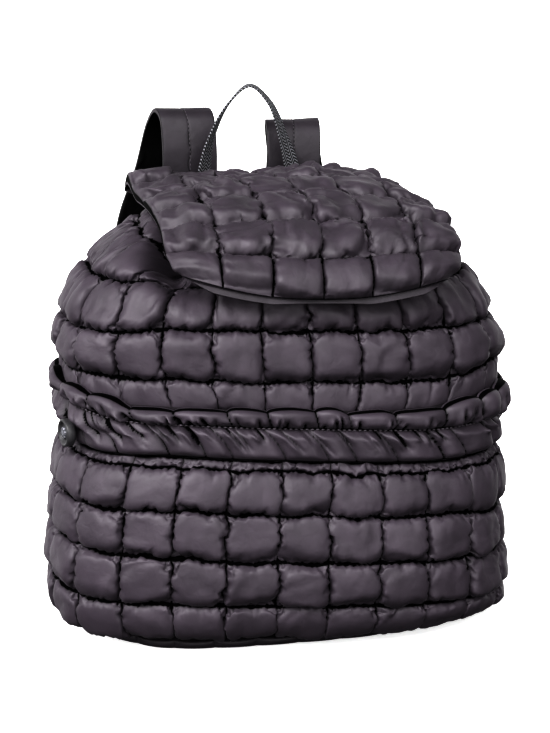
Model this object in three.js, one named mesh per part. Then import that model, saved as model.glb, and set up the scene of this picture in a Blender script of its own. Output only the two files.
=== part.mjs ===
// Quilted puffer backpack, standing on its base, in millimetres.
// +Z is up, the front faces -Y and the wearer's back is at +Y.
// The origin is the middle of the base, on the ground.
import * as THREE from "three";

// Driving dimensions
const WRAP_COLUMNS = 17; // quilted columns round the front and the sides
const BACK_COLUMNS = 7; // quilted columns across the back
const WALL = 3; // padded cloth at a seam
const GAP = 0.5; // clearance between sewn neighbours
const EDGE = 0.004; // clearance at the side seams, as a share of half an outline
const POCKET_SHIFT = 0.009; // how far the pocket's columns sit to the left, as a share of half an outline
const SACK_SHIFT = 0.033; // the sack's columns sit further to the left
const FRONT_ROUNDNESS = 2.6; // superellipse power of the front half of a section
const BACK_ROUNDNESS = 2.4; // the back half is a little rounder

// How the filled bag has settled, by height: its drop to the right as a share of x,
// how far its sides sag below the middle, its lean to the right,
// and how far its far left and far right sink besides
const SETTLED = [
  { z: 0, drop: 0, sag: 0, lean: 0, left: 0, right: 0 },
  { z: 12.5, drop: 0.025, sag: 0, lean: 0, left: 2, right: 0 },
  { z: 43, drop: 0.08, sag: 1.5, lean: -1, left: 7, right: 1 },
  { z: 80, drop: 0.08, sag: 0.5, lean: -1, left: 4.5, right: 4 },
  { z: 118, drop: 0.09, sag: 2, lean: 0, left: 8, right: 5 },
  { z: 155, drop: 0.085, sag: 2, lean: 3, left: 7.5, right: -2 },
  { z: 180, drop: 0.085, sag: 3, lean: 3, left: 12, right: -4 },
  { z: 200, drop: 0.07, sag: 4, lean: 2.5, left: 15, right: -6 },
  { z: 218, drop: 0.065, sag: 3, lean: 2.5, left: 3, right: -10 },
  { z: 235, drop: 0.06, sag: 2, lean: 2.5, left: 5, right: -6 },
  { z: 262, drop: 0.052, sag: 2.5, lean: 0.5, left: 10, right: 0 },
  { z: 300, drop: 0.04, sag: 3, lean: 0.5, left: 6, right: 0 },
  { z: 345, drop: 0.025, sag: 0, lean: 6, left: 0, right: 0 },
  { z: 440, drop: 0, sag: 0, lean: 6.5, left: 0, right: 0 },
];
const SAG_HALF = 165; // half width where the sag is measured
const FAR_SIDE = { from: 95, to: 175 }; // x where a far side begins and where it has sunk fully

// The outer envelope at its seams, one row per level: half width, front y and back y,
// and the half width of the back panel there
const BODY = [
  { z: 10, half: 173, front: -92, back: 94, panel: 119 },
  { z: 31, half: 181, front: -107, back: 101, panel: 127 },
  { z: 69, half: 178.5, front: -116, back: 104, panel: 128 },
  { z: 108, half: 176, front: -116, back: 105, panel: 128 },
  { z: 146, half: 173, front: -111, back: 105, panel: 128 },
  { z: 159, half: 169, front: -107, back: 105, panel: 126 },
  { z: 180, half: 168, front: -105, back: 105, panel: 125 },
  { z: 194, half: 174, front: -106, back: 105, panel: 122 },
  { z: 216, half: 174.5, front: -104, back: 105, panel: 119 },
  { z: 257, half: 170, front: -98, back: 103, panel: 112 },
  { z: 292, half: 152, front: -82, back: 99, panel: 103 },
  { z: 318, half: 119, front: -57, back: 93, panel: 90 },
  { z: 334, half: 98, front: -38, back: 88, panel: 79 },
];
// The sack inside that envelope: it stands back behind the pocket and comes out above it
const SACK = [
  { z: 12.5, half: 144, front: -66, back: 83 },
  { z: 60, half: 165.5, front: -86, back: 97 },
  { z: 120, half: 165, front: -88, back: 98.5 },
  { z: 176, half: 159, front: -88, back: 93 },
  { z: 190, half: 164.5, front: -90, back: 93 },
  { z: 217.5, half: 172.5, front: -90, back: 99 },
  { z: 257, half: 167, front: -88, back: 97 },
  { z: 292, half: 148, front: -75, back: 93 },
  { z: 318, half: 112, front: -52, back: 87 },
  { z: 331, half: 94, front: -38, back: 82.5 },
];
const SACK_PLAIN_LEVELS = [12.5, 60, 120, 176]; // hidden behind the pocket
// Quilted rows, each from its lower seam: how far its cells stand out
const SACK_ROWS = [
  { z: 188, puff: 5 }, // just its upper part shows above the ruffle
  { z: 217.5, puff: 9 },
  { z: 257, puff: 9 },
  { z: 292, puff: 7 },
  { z: 318, puff: 3 },
  { z: 331, puff: 0 }, // the mouth
];
const POCKET_ROWS = [
  { z: 12.5, puff: 8 },
  { z: 43, puff: 9 },
  { z: 80.5, puff: 9 },
  { z: 118, puff: 9 },
  { z: 151, puff: 4 }, // squeezed by the casing
  { z: 158, puff: 0 },
];
// The back lies flatter
const BACK_ROWS = [12.5, 50, 88, 126, 164, 202, 240, 278, 308, 334].map((z) => ({ z, puff: 4 }));

// The gathered casing that closes the pocket: height, how far it stands out, and how deep its pleats are
const CASING = [
  { z: 159, out: 0.5, pleat: 0.5 },
  { z: 165, out: 7, pleat: 2 },
  { z: 177, out: 7, pleat: 3 },
  { z: 185, out: 1.5, pleat: 1.2 }, // the sewn line
  { z: 190, out: 7, pleat: 3, inside: 2 },
  { z: 196, out: 6, pleat: 4, inside: 2 }, // the free ruffle, whose inside stands out too
];
const PLEATS = 34;
const PLEAT_STEPS = 4; // grid lines in a pleat
const PLEAT_LEAN = 0.6; // grid lines that a pleat leans from one level to the next

// The base panel, from the ground up: height and inset from the envelope's lowest level
const BASE_RINGS = [
  { z: 0, inset: 17 },
  { z: 3, inset: 10 },
  { z: 7, inset: 7 },
  { z: 8.3, inset: 8 },
];
const BASE_SIDES = 48;

// The flap: its line over the top from the back panel to the front lip
const FLAP_LINE = [
  { y: 85, z: 335.5 },
  { y: 77, z: 345 },
  { y: 44, z: 351 },
  { y: 0, z: 350 },
  { y: -45, z: 340 },
  { y: -82, z: 322 },
  { y: -103, z: 303 },
  { y: -110.5, z: 286.5 },
];
const FLAP_COLUMNS = 6;
// Quilted rows, each from its rear seam, as shares of the flap's length
const FLAP_ROWS = [0, 0.16, 0.335, 0.51, 0.685, 0.86, 1].map((z) => ({ z, puff: 8 }));
const FLAP_REAR_HALF = 103;
const FLAP_FRONT_HALF = 115;
// Its side edges hang down, the right one further, all of it from this share of its length on
const FLAP_DROOP = { left: 16, right: 19, power: 3.4, full: 0.25 };
// The rear of the flap is pulled down between the straps.
const FLAP_DIP = { by: 6.5, x: -28, width: 45, from: 0.08, to: 0.5 };
const FLAP_CORNER = { by: 0.17, power: 2.5, from: 0.3 }; // share of its length given up at its round corners
const FLAP_SPREAD = 0.7; // share of its length where it has its front width
const FLAP_REAR_SHIFT = -10; // its back seam lies a little to the left
const FLAP_FRONT_SHIFT = 11; // its lip lies a little to the right
const FACING = 1.5; // thickness of the smooth facing under it
const FACING_REAR = 0.05; // share of the flap's length where the facing starts
const FACING_LIP = 1.008; // it shows below the lip
const FACING_SIDE = 0.985; // share of the flap's half width that it covers

// A shoulder strap: centre line of the right one
const STRAP_LINE = [
  { x: 43, y: 107.6, z: 296 },
  { x: 43, y: 108, z: 330 },
  { x: 44, y: 109.3, z: 362 },
  { x: 45, y: 117, z: 381 },
  { x: 47, y: 131, z: 384 },
  { x: 51, y: 147, z: 370 },
  { x: 58, y: 158, z: 338 },
  { x: 74, y: 169, z: 275 },
  { x: 87, y: 171, z: 215 },
  { x: 97, y: 164, z: 160 },
  { x: 104, y: 152, z: 122 },
];
const STRAP_WIDTH = 45;
const STRAP_STEPS = 22;
// Across a strap: place, and half the padding's thickness
const STRAP_SECTION = [
  { across: -0.5, half: 2 },
  { across: -0.3, half: 4.6 },
  { across: 0, half: 2.6 }, // the stitched middle
  { across: 0.3, half: 4.6 },
  { across: 0.5, half: 2 },
];
// The left loop stands higher than the right one.
const STRAP_RISE = { left: 9, right: -2, from: 330, to: 380 };
const STRAP_SHIFT = { by: -12, from: 200, to: 330 }; // both tops are pulled to the left
const WEBBING_LINE = [
  { x: 107.5, y: 145, z: 105 },
  { x: 110, y: 127, z: 74 },
  { x: 112, y: 105, z: 46 },
  { x: 113, y: 91, z: 28 },
];
const WEBBING_TILT = 0.38; // its flat side follows the round of the back
const WEBBING_WIDTH = 25;
const WEBBING_THICKNESS = 2;
const WEBBING_STEPS = 8;
const SLIDER = { width: 34, height: 12, thickness: 4, bar: 3 };

// The carry handle: a webbing arch in front of the straps, with the turn of its flat side
const HANDLE_LINE = [
  { x: -46, y: 95.7, z: 322, turn: 10 },
  { x: -46, y: 96, z: 345, turn: 35 },
  { x: -41, y: 95, z: 374, turn: 57 },
  { x: -26, y: 94, z: 404, turn: 68 },
  { x: -8, y: 95, z: 418, turn: 78 },
  { x: 8, y: 94, z: 404, turn: 65 },
  { x: 20, y: 95, z: 374, turn: 48 },
  { x: 29, y: 97, z: 345, turn: 20 },
  { x: 33, y: 97.2, z: 322, turn: 5 },
];
const HANDLE_WIDTH = 14;
const HANDLE_THICKNESS = 2;
const HANDLE_STEPS = 28;

// The round cord toggle at the left end of the casing, turned a little to the back
const TOGGLE = { share: -0.415, z: 174, out: 13, turn: -5, radius: 11, depth: 8, recess: 2.5, rim: 2.5 };
const TOGGLE_SIDES = 16;

// Colours of the cloth, the webbing and the hard plastic
const cloth = new THREE.MeshStandardMaterial({ color: 0x4d454c, roughness: 0.5, metalness: 0 });
const tape = new THREE.MeshStandardMaterial({ color: 0x2c2b2f, roughness: 0.8, metalness: 0 });
const plastic = new THREE.MeshStandardMaterial({ color: 0x2f2d30, roughness: 0.4, metalness: 0 });

// Grid lines of a quilted cell: place in the cell, and share of the padding's height
const PILLOW = [
  { share: 0, height: 0 },
  { share: 0.2, height: 1 },
  { share: 0.8, height: 1 },
];

// A value of a table at height z, on a smooth curve through its rows
function atLevel(table, key, z) {
  const last = table.length - 1;
  const clamped = Math.min(Math.max(z, table[0].z), table[last].z);
  let i = 0;
  while (i < last - 1 && table[i + 1].z < clamped) i++;
  const slope = (k) => {
    const below = table[Math.max(k - 1, 0)];
    const above = table[Math.min(k + 1, last)];
    return (above[key] - below[key]) / (above.z - below.z);
  };
  const span = table[i + 1].z - table[i].z;
  const t = (clamped - table[i].z) / span;
  const ease = t * t * (3 - 2 * t);
  const lead = t * (1 - t) * (1 - t) * span;
  const tail = t * t * (t - 1) * span;
  return table[i][key] * (1 - ease) + table[i + 1][key] * ease + slope(i) * lead + slope(i + 1) * tail;
}

// A horizontal section of a table at height z, measured along its outline from the front middle
const SECTION_SAMPLES = 360;
const sections = new Map();
function section(table, z) {
  const key = table[0].z + ":" + z;
  if (sections.has(key)) return sections.get(key);
  const half = atLevel(table, "half", z);
  const front = atLevel(table, "front", z);
  const back = atLevel(table, "back", z);
  const points = [];
  const lengths = [0];
  for (let i = 0; i <= SECTION_SAMPLES; i++) {
    const turn = (i / SECTION_SAMPLES) * Math.PI;
    const power = 2 / (turn < Math.PI / 2 ? FRONT_ROUNDNESS : BACK_ROUNDNESS);
    const x = half * Math.sin(turn) ** power;
    const ahead = Math.sign(Math.cos(turn)) * Math.abs(Math.cos(turn)) ** power;
    const y = (front + back) / 2 - ((back - front) / 2) * ahead;
    points.push([x, y]);
    if (i) lengths.push(lengths[i - 1] + Math.hypot(x - points[i - 1][0], y - points[i - 1][1]));
  }
  const made = { points, lengths, total: lengths[SECTION_SAMPLES] };
  sections.set(key, made);
  return made;
}

// A point on that outline: share runs from -1, the back middle, by the left side to 0, the front middle,
// and by the right side to 1, the back middle again
function outline(table, share, z) {
  const { points, lengths, total } = section(table, z);
  const along = Math.min(Math.abs(share), 1) * total;
  let i = 1;
  while (i < SECTION_SAMPLES && lengths[i] < along) i++;
  const t = (along - lengths[i - 1]) / (lengths[i] - lengths[i - 1] || 1);
  const x = points[i - 1][0] + t * (points[i][0] - points[i - 1][0]);
  const y = points[i - 1][1] + t * (points[i][1] - points[i - 1][1]);
  return new THREE.Vector3(share < 0 ? -x : x, y, z);
}

// The share where the back panel's edge runs, at height z
function seamShare(table, z) {
  const { points, lengths, total } = section(table, z);
  const edge = atLevel(BODY, "panel", z);
  let i = SECTION_SAMPLES;
  while (i > 0 && points[i][0] < edge) i--;
  return lengths[i] / total;
}

// The share of a place t from -1 to 1 between the two edges of the back panel
function wrapShare(t, seam, shift) {
  return t * seam - shift * (1 - t * t);
}

// Outward direction of a surface made of sections
function outward(table, share, z) {
  const step = 0.004;
  const rise = 1.5;
  const across = outline(table, share + step, z).sub(outline(table, share - step, z));
  const up = outline(table, share, z + rise).sub(outline(table, share, z - rise));
  return across.cross(up).normalize();
}

function offset(table, share, z, distance) {
  return outline(table, share, z).addScaledVector(outward(table, share, z), distance);
}

// The place of a point after the bag has settled
function settle(p) {
  const drop = atLevel(SETTLED, "drop", p.z) * p.x;
  const sag = atLevel(SETTLED, "sag", p.z) * (p.x / SAG_HALF) ** 2;
  const far = THREE.MathUtils.smoothstep(Math.abs(p.x), FAR_SIDE.from, FAR_SIDE.to);
  const side = atLevel(SETTLED, p.x < 0 ? "left" : "right", p.z) * far;
  return new THREE.Vector3(p.x + atLevel(SETTLED, "lean", p.z), p.y, p.z - drop - sag - side);
}

// Grid lines of quilted rows, with the height of the padding on each
function quiltLines(rows) {
  const last = rows.length - 1;
  const lines = [];
  for (let i = 0; i < last; i++)
    for (const { share, height } of PILLOW)
      lines.push({ at: rows[i].z + share * (rows[i + 1].z - rows[i].z), height: height * rows[i].puff });
  lines.push({ at: rows[last].z, height: 0 });
  return lines;
}

// Grid lines of equal quilted columns, with the share of the padding on each
function quiltColumns(from, to, count) {
  return quiltLines(evenly(from, to, count).map((z) => ({ z, puff: 1 })));
}

function evenly(from, to, count) {
  return Array.from({ length: count + 1 }, (_, i) => from + ((to - from) * i) / count);
}

// A closed solid between two grids of points, each a list of rows from the bottom up.
// A ring closes on itself in each row.
function thickSheet(outer, inner, ring = false) {
  const positions = [];
  const index = [];
  const number = (grid) => grid.map((row) => row.map((p) => positions.push(...settle(p).toArray()) / 3 - 1));
  const a = number(outer);
  const b = number(inner);
  const face = (grid, flip) => {
    for (let j = 0; j < grid.length - 1; j++)
      for (let i = 0; i < grid[j].length - (ring ? 0 : 1); i++) {
        const k = (i + 1) % grid[j].length;
        const [p, q, r, s] = [grid[j][i], grid[j][k], grid[j + 1][k], grid[j + 1][i]];
        if (flip) index.push(p, r, q, p, s, r);
        else index.push(p, q, r, p, r, s);
      }
  };
  const bridge = (near, far) => {
    let i = 0;
    let j = 0;
    while (i < near.length - 1 || j < far.length - 1) {
      const first = (i + 1) / (near.length - 1) <= (j + 1) / (far.length - 1);
      if (j === far.length - 1 || (i < near.length - 1 && first)) {
        index.push(near[i + 1], near[i], far[j]);
        i++;
      } else {
        index.push(near[i], far[j], far[j + 1]);
        j++;
      }
    }
  };
  const bottom = (grid) => (ring ? [...grid[0], grid[0][0]] : grid[0]);
  const top = (grid) => {
    const row = grid[grid.length - 1];
    return (ring ? [...row, row[0]] : [...row]).reverse();
  };
  face(a, false);
  face(b, true);
  bridge(bottom(a), bottom(b));
  bridge(top(a), top(b));
  if (!ring) {
    bridge(a.map((row) => row[row.length - 1]), b.map((row) => row[row.length - 1]));
    bridge(a.map((row) => row[0]).reverse(), b.map((row) => row[0]).reverse());
  }
  return meshOf(positions, index);
}

function meshOf(positions, index) {
  const geometry = new THREE.BufferGeometry();
  geometry.setAttribute("position", new THREE.Float32BufferAttribute(positions, 3));
  geometry.setIndex(index);
  geometry.computeVertexNormals();
  return geometry;
}

const bag = new THREE.Group();
function add(name, geometry, material) {
  const mesh = new THREE.Mesh(geometry, material);
  mesh.name = name;
  bag.add(mesh);
  return mesh;
}

// Main sack: an open tube, plain behind the pocket and the back panel, quilted where it shows
function mainSack() {
  const columns = quiltColumns(-1, 1, WRAP_COLUMNS).slice(0, -1);
  const backShares = evenly(0, 1, BACK_COLUMNS).slice(0, -1);
  const rows = [
    ...SACK_PLAIN_LEVELS.map((at) => ({ at, height: 0 })),
    ...quiltLines(SACK_ROWS),
  ];
  const ringAt = (z, rowHeight) => {
    const seam = seamShare(SACK, z);
    const wrap = columns.map((c) => offset(SACK, wrapShare(c.at, seam, SACK_SHIFT), z, rowHeight * c.height));
    const rear = backShares.map((t) => {
      const share = seam + (2 - 2 * seam) * t;
      return outline(SACK, share > 1 ? share - 2 : share, z);
    });
    return [...wrap, ...rear];
  };
  const outer = rows.map((r) => ringAt(r.at, r.height));
  const shares = evenly(-1, 1, WRAP_COLUMNS + BACK_COLUMNS).slice(0, -1);
  const innerLevels = [...SACK_PLAIN_LEVELS, ...SACK_ROWS.map((row) => row.z)];
  const inner = innerLevels.map((z) => {
    const seam = seamShare(SACK, z);
    return shares.map((s) => {
      const share = s + 1 - seam;
      return offset(SACK, share > 1 ? share - 2 : share, z, -WALL);
    });
  });
  return thickSheet(outer, inner, true);
}

// Front pocket: quilted rows round the front and sides, open at the top
function frontPocket() {
  const columns = quiltColumns(-1, 1, WRAP_COLUMNS);
  const outer = quiltLines(POCKET_ROWS).map((r) => {
    const seam = seamShare(BODY, r.at) - EDGE;
    return columns.map((c) => offset(BODY, wrapShare(c.at, seam, POCKET_SHIFT), r.at, r.height * c.height));
  });
  const inner = POCKET_ROWS.map(({ z }) => {
    const seam = seamShare(BODY, z) - EDGE;
    return evenly(-1, 1, WRAP_COLUMNS).map((t) => offset(BODY, wrapShare(t, seam, POCKET_SHIFT), z, -WALL));
  });
  return thickSheet(outer, inner);
}

// Gathered casing with slanted pleats and a free ruffle along its top
function pocketCasing() {
  const outer = CASING.map((level, j) => {
    const seam = seamShare(BODY, level.z) - EDGE;
    return evenly(-1, 1, PLEATS * PLEAT_STEPS).map((t, i) => {
      const wave = Math.sin(((i + j * PLEAT_LEAN) / PLEAT_STEPS) * 2 * Math.PI);
      return offset(BODY, t * seam, level.z, level.out + level.pleat * wave);
    });
  });
  const inner = CASING.map((level) => {
    const seam = seamShare(BODY, level.z) - EDGE;
    return evenly(-1, 1, PLEATS).map((t) => offset(BODY, t * seam, level.z, (level.inside ?? 0) - WALL));
  });
  return thickSheet(outer, inner);
}

// Back panel: flatter quilting between the two side seams
function backPanel() {
  const shareAt = (t, z) => {
    const seam = seamShare(BODY, z) + EDGE;
    const share = seam + (2 - 2 * seam) * t;
    return share > 1 ? share - 2 : share;
  };
  const columns = quiltColumns(0, 1, BACK_COLUMNS);
  const outer = quiltLines(BACK_ROWS).map((r) =>
    columns.map((c) => offset(BODY, shareAt(c.at, r.at), r.at, r.height * c.height)),
  );
  const inner = BACK_ROWS.map(({ z }) =>
    evenly(0, 1, BACK_COLUMNS).map((t) => offset(BODY, shareAt(t, z), z, -WALL)),
  );
  return thickSheet(outer, inner);
}

// Base panel: a padded oval, flat on the ground
function basePanel() {
  const low = BODY[0].z;
  const ring = ({ z, inset }) =>
    evenly(-1, 1, BASE_SIDES)
      .slice(0, -1)
      .map((share) => offset(BODY, share, low, -inset).setZ(z));
  const centre = (z) => new THREE.Vector3(0, 0, z);
  const positions = [];
  const index = [];
  const number = (p) => positions.push(...p.toArray()) / 3 - 1;
  const rows = BASE_RINGS.map((level) => ring(level).map(number));
  const bottom = number(centre(BASE_RINGS[0].z));
  const top = number(centre(BASE_RINGS[BASE_RINGS.length - 1].z));
  for (let i = 0; i < BASE_SIDES; i++) {
    const k = (i + 1) % BASE_SIDES;
    index.push(bottom, rows[0][k], rows[0][i]);
    for (let j = 0; j < rows.length - 1; j++) {
      index.push(rows[j][i], rows[j][k], rows[j + 1][k], rows[j][i], rows[j + 1][k], rows[j + 1][i]);
    }
    index.push(top, rows[rows.length - 1][i], rows[rows.length - 1][k]);
  }
  return meshOf(positions, index);
}

// A point on the flap: across from -1 to 1, along from 0 at the back seam to 1 at the lip
const flapCurve = new THREE.CatmullRomCurve3(FLAP_LINE.map((p) => new THREE.Vector3(0, p.y, p.z)));
function flapPoint(across, along) {
  const corner = THREE.MathUtils.smoothstep(along, FLAP_CORNER.from, 1);
  const given = FLAP_CORNER.by * Math.abs(across) ** FLAP_CORNER.power * corner;
  const t = Math.min(along * (1 - given), 1);
  const p = flapCurve.getPointAt(t);
  const beyond = Math.max(along - 1, 0) * flapCurve.getLength();
  p.addScaledVector(flapCurve.getTangentAt(t), beyond);
  const spread = THREE.MathUtils.smoothstep(along, 0, FLAP_SPREAD);
  p.x =
    across * THREE.MathUtils.lerp(FLAP_REAR_HALF, FLAP_FRONT_HALF, spread) +
    THREE.MathUtils.lerp(FLAP_REAR_SHIFT, FLAP_FRONT_SHIFT, spread);
  const droop = THREE.MathUtils.smoothstep(along, 0, FLAP_DROOP.full);
  p.z -= FLAP_DROOP[across < 0 ? "left" : "right"] * Math.abs(across) ** FLAP_DROOP.power * droop;
  const { from, to, by, x, width } = FLAP_DIP;
  const sunk = THREE.MathUtils.smoothstep(along, 0, from) - THREE.MathUtils.smoothstep(along, from, to);
  p.z -= by * Math.exp(-(((p.x - x) / width) ** 2)) * sunk;
  return p;
}

function flapOffset(across, along, distance) {
  const step = 0.01;
  const wide = flapPoint(across + step, along).sub(flapPoint(across - step, along));
  const near = THREE.MathUtils.clamp(along, step, 1 - step);
  const back = flapPoint(across, near - step).sub(flapPoint(across, near + step));
  return flapPoint(across, along).addScaledVector(wide.cross(back).normalize(), distance);
}

function flap() {
  const columns = quiltColumns(-1, 1, FLAP_COLUMNS);
  const outer = quiltLines(FLAP_ROWS)
    .reverse()
    .map((r) => columns.map((c) => flapOffset(c.at, r.at, WALL / 2 + r.height * c.height)));
  const inner = [...flapSeams(), 0].map((along) => flapLine(along, -WALL / 2));
  return thickSheet(outer, inner);
}

// The flap's underside: its seams from the lip to where the facing starts, and a line across on each
function flapSeams() {
  return [...FLAP_ROWS.slice(1).map((row) => row.z).reverse(), FACING_REAR];
}

function flapLine(along, distance, side = 1) {
  return evenly(-1, 1, FLAP_COLUMNS).map((across) =>
    flapOffset(THREE.MathUtils.clamp(across, -side, side), along, distance),
  );
}

// The smooth facing under the flap, which shows as a narrow edge below the lip
function flapFacing() {
  const top = -WALL / 2 - 2 * GAP;
  const grid = (distance) =>
    [FACING_LIP, ...flapSeams()].map((along) => flapLine(along, distance, FACING_SIDE));
  return thickSheet(grid(top), grid(top - FACING));
}

// A flat band along a line: each section is a list of places across it with half thicknesses
function band(line, steps, width, profile, flatAcross) {
  const curve = new THREE.CatmullRomCurve3(line);
  const place = (t, across, half) => {
    const wide = flatAcross(t);
    const tangent = curve.getTangentAt(t);
    wide.addScaledVector(tangent, -wide.dot(tangent)).normalize();
    const face = wide.clone().cross(tangent).normalize();
    return curve.getPointAt(t).addScaledVector(wide, across * width).addScaledVector(face, half);
  };
  const grid = (side) =>
    evenly(0, 1, steps).map((t) => profile.map(({ across, half }) => place(t, across, side * half)));
  return thickSheet(grid(1), grid(-1));
}

const sides = [
  { name: "left", sign: -1 },
  { name: "right", sign: 1 },
];
const sided = (line, sign) => line.map((p) => new THREE.Vector3(sign * p.x, p.y, p.z));
const alongX = () => new THREE.Vector3(1, 0, 0);
const flat = (thickness) => [
  { across: -0.5, half: thickness / 2 },
  { across: 0.5, half: thickness / 2 },
];

function shoulderStrap({ name, sign }) {
  const line = sided(STRAP_LINE, sign);
  for (const p of line) {
    p.x += STRAP_SHIFT.by * THREE.MathUtils.smoothstep(p.z, STRAP_SHIFT.from, STRAP_SHIFT.to);
    p.z += STRAP_RISE[name] * THREE.MathUtils.smoothstep(p.z, STRAP_RISE.from, STRAP_RISE.to);
  }
  return band(line, STRAP_STEPS, STRAP_WIDTH, STRAP_SECTION, alongX);
}

function strapWebbing({ sign }) {
  const flatAcross = () => new THREE.Vector3(1, -sign * WEBBING_TILT, 0);
  return band(sided(WEBBING_LINE, sign), WEBBING_STEPS, WEBBING_WIDTH, flat(WEBBING_THICKNESS), flatAcross);
}

// A plain frame between the padded strap and its webbing
function strapSlider() {
  const { width, height, thickness, bar } = SLIDER;
  const rectangle = (path, w, h) => {
    path.moveTo(-w / 2, -h / 2);
    path.lineTo(w / 2, -h / 2);
    path.lineTo(w / 2, h / 2);
    path.lineTo(-w / 2, h / 2);
    path.closePath();
    return path;
  };
  const shape = rectangle(new THREE.Shape(), width, height);
  shape.holes.push(rectangle(new THREE.Path(), width - 2 * bar, height - 2 * bar));
  const geometry = new THREE.ExtrudeGeometry(shape, { depth: thickness, bevelEnabled: false });
  return geometry.translate(0, 0, -thickness / 2);
}

function placeSlider(mesh, { sign }) {
  const end = STRAP_LINE[STRAP_LINE.length - 1];
  const start = WEBBING_LINE[0];
  const upper = settle(new THREE.Vector3(sign * end.x, end.y, end.z));
  const lower = settle(new THREE.Vector3(sign * start.x, start.y, start.z));
  const up = upper.clone().sub(lower).normalize();
  const wide = new THREE.Vector3(1, 0, 0);
  wide.addScaledVector(up, -wide.dot(up)).normalize();
  mesh.quaternion.setFromRotationMatrix(new THREE.Matrix4().makeBasis(wide, up, wide.clone().cross(up)));
  mesh.position.copy(upper).add(lower).multiplyScalar(0.5);
}

function carryHandle() {
  const line = HANDLE_LINE.map((p) => new THREE.Vector3(p.x, p.y, p.z));
  const turnAt = (t) => {
    const place = t * (HANDLE_LINE.length - 1);
    const i = Math.min(Math.floor(place), HANDLE_LINE.length - 2);
    return THREE.MathUtils.lerp(HANDLE_LINE[i].turn, HANDLE_LINE[i + 1].turn, place - i);
  };
  const flatAcross = (t) => {
    const turn = THREE.MathUtils.degToRad(turnAt(t));
    return new THREE.Vector3(Math.cos(turn), Math.sin(turn), 0);
  };
  return band(line, HANDLE_STEPS, HANDLE_WIDTH, flat(HANDLE_THICKNESS), flatAcross);
}

// Round toggle with a dished face and a raised rim
function cordToggle() {
  const { radius, depth, recess, rim } = TOGGLE;
  const profile = [
    [0, 0],
    [radius * 0.75, 0],
    [radius, depth * 0.35],
    [radius, depth * 0.8],
    [radius - rim / 2, depth],
    [radius - rim, depth],
    [radius - rim * 1.6, depth - recess],
    [0, depth - recess],
  ];
  return new THREE.LatheGeometry(profile.map(([r, h]) => new THREE.Vector2(r, h)), TOGGLE_SIDES);
}

function placeToggle(mesh) {
  const { share, z, out, turn } = TOGGLE;
  const upright = new THREE.Vector3(0, 0, 1);
  const face = outward(BODY, share, z).setZ(0).normalize();
  face.applyAxisAngle(upright, THREE.MathUtils.degToRad(turn));
  mesh.position.copy(settle(offset(BODY, share, z, out)));
  mesh.quaternion.setFromUnitVectors(new THREE.Vector3(0, 1, 0), face);
}

add("base_panel", basePanel(), cloth);
add("main_sack", mainSack(), cloth);
add("back_panel", backPanel(), cloth);
add("front_pocket", frontPocket(), cloth);
add("pocket_casing", pocketCasing(), cloth);
add("flap", flap(), cloth);
add("flap_facing", flapFacing(), cloth);
for (const side of sides) {
  add("shoulder_strap_" + side.name, shoulderStrap(side), cloth);
  add("strap_webbing_" + side.name, strapWebbing(side), tape);
  placeSlider(add("strap_slider_" + side.name, strapSlider(), plastic), side);
}
add("carry_handle", carryHandle(), tape);
placeToggle(add("cord_toggle", cordToggle(), plastic));

export default bag;
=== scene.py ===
"""Quilted puffer backpack: its cloth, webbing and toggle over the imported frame, in metres."""

import math

import bpy
import numpy as np
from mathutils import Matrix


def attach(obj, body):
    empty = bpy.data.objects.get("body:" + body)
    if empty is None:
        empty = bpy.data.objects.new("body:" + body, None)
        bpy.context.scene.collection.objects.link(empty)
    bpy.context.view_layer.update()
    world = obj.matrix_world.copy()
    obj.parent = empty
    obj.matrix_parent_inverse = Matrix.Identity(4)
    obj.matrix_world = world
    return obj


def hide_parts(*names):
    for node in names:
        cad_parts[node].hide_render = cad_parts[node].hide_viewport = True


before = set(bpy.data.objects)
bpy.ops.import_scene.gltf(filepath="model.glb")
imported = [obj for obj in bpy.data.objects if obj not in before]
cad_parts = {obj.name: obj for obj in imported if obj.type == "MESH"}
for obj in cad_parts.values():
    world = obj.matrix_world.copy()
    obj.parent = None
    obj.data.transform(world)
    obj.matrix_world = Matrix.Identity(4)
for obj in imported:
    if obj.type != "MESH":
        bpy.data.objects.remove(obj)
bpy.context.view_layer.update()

MM = 0.001


def table(columns, rows):
    """A table with named columns, in millimetres."""
    return {name: np.array([row[k] for row in rows], float) for k, name in enumerate(columns.split())}


# The bag's sizes, as in the part's source, with a few forms that only the cloth has
WRAP_COLUMNS = 17
BACK_COLUMNS = 7
WALL = 3.0
EDGE = 0.004
POCKET_SHIFT = 0.009
SACK_SHIFT = 0.033
FRONT_ROUNDNESS = 2.6
BACK_ROUNDNESS = 2.4
SAG_HALF = 165.0
FAR_SIDE = (95.0, 175.0)
SETTLED = table("z drop sag lean left right", [
    (0, 0, 0, 0, 0, 0), (12.5, 0.025, 0, 0, 2, 0), (43, 0.08, 1.5, -1, 7, 1),
    (80, 0.08, 0.5, -1, 4.5, 4), (118, 0.09, 2, 0, 8, 5), (155, 0.085, 2, 3, 7.5, -2),
    (180, 0.085, 3, 3, 12, -4), (200, 0.07, 4, 2.5, 15, -6), (218, 0.065, 3, 2.5, 3, -10),
    (235, 0.06, 2, 2.5, 5, -6), (262, 0.052, 2.5, 0.5, 10, 0), (300, 0.04, 3, 0.5, 6, 0),
    (345, 0.025, 0, 6, 0, 0), (440, 0, 0, 6.5, 0, 0),
])
BODY = table("z half front back panel", [
    (10, 173, -92, 94, 119), (31, 181, -107, 101, 127), (69, 178.5, -116, 104, 128),
    (108, 176, -116, 105, 128), (146, 173, -111, 105, 128), (159, 169, -107, 105, 126),
    (180, 168, -105, 105, 125), (194, 174, -106, 105, 122), (216, 174.5, -104, 105, 119),
    (257, 170, -98, 103, 112), (292, 152, -82, 99, 103), (318, 119, -57, 93, 90), (334, 98, -38, 88, 79),
])
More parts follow.
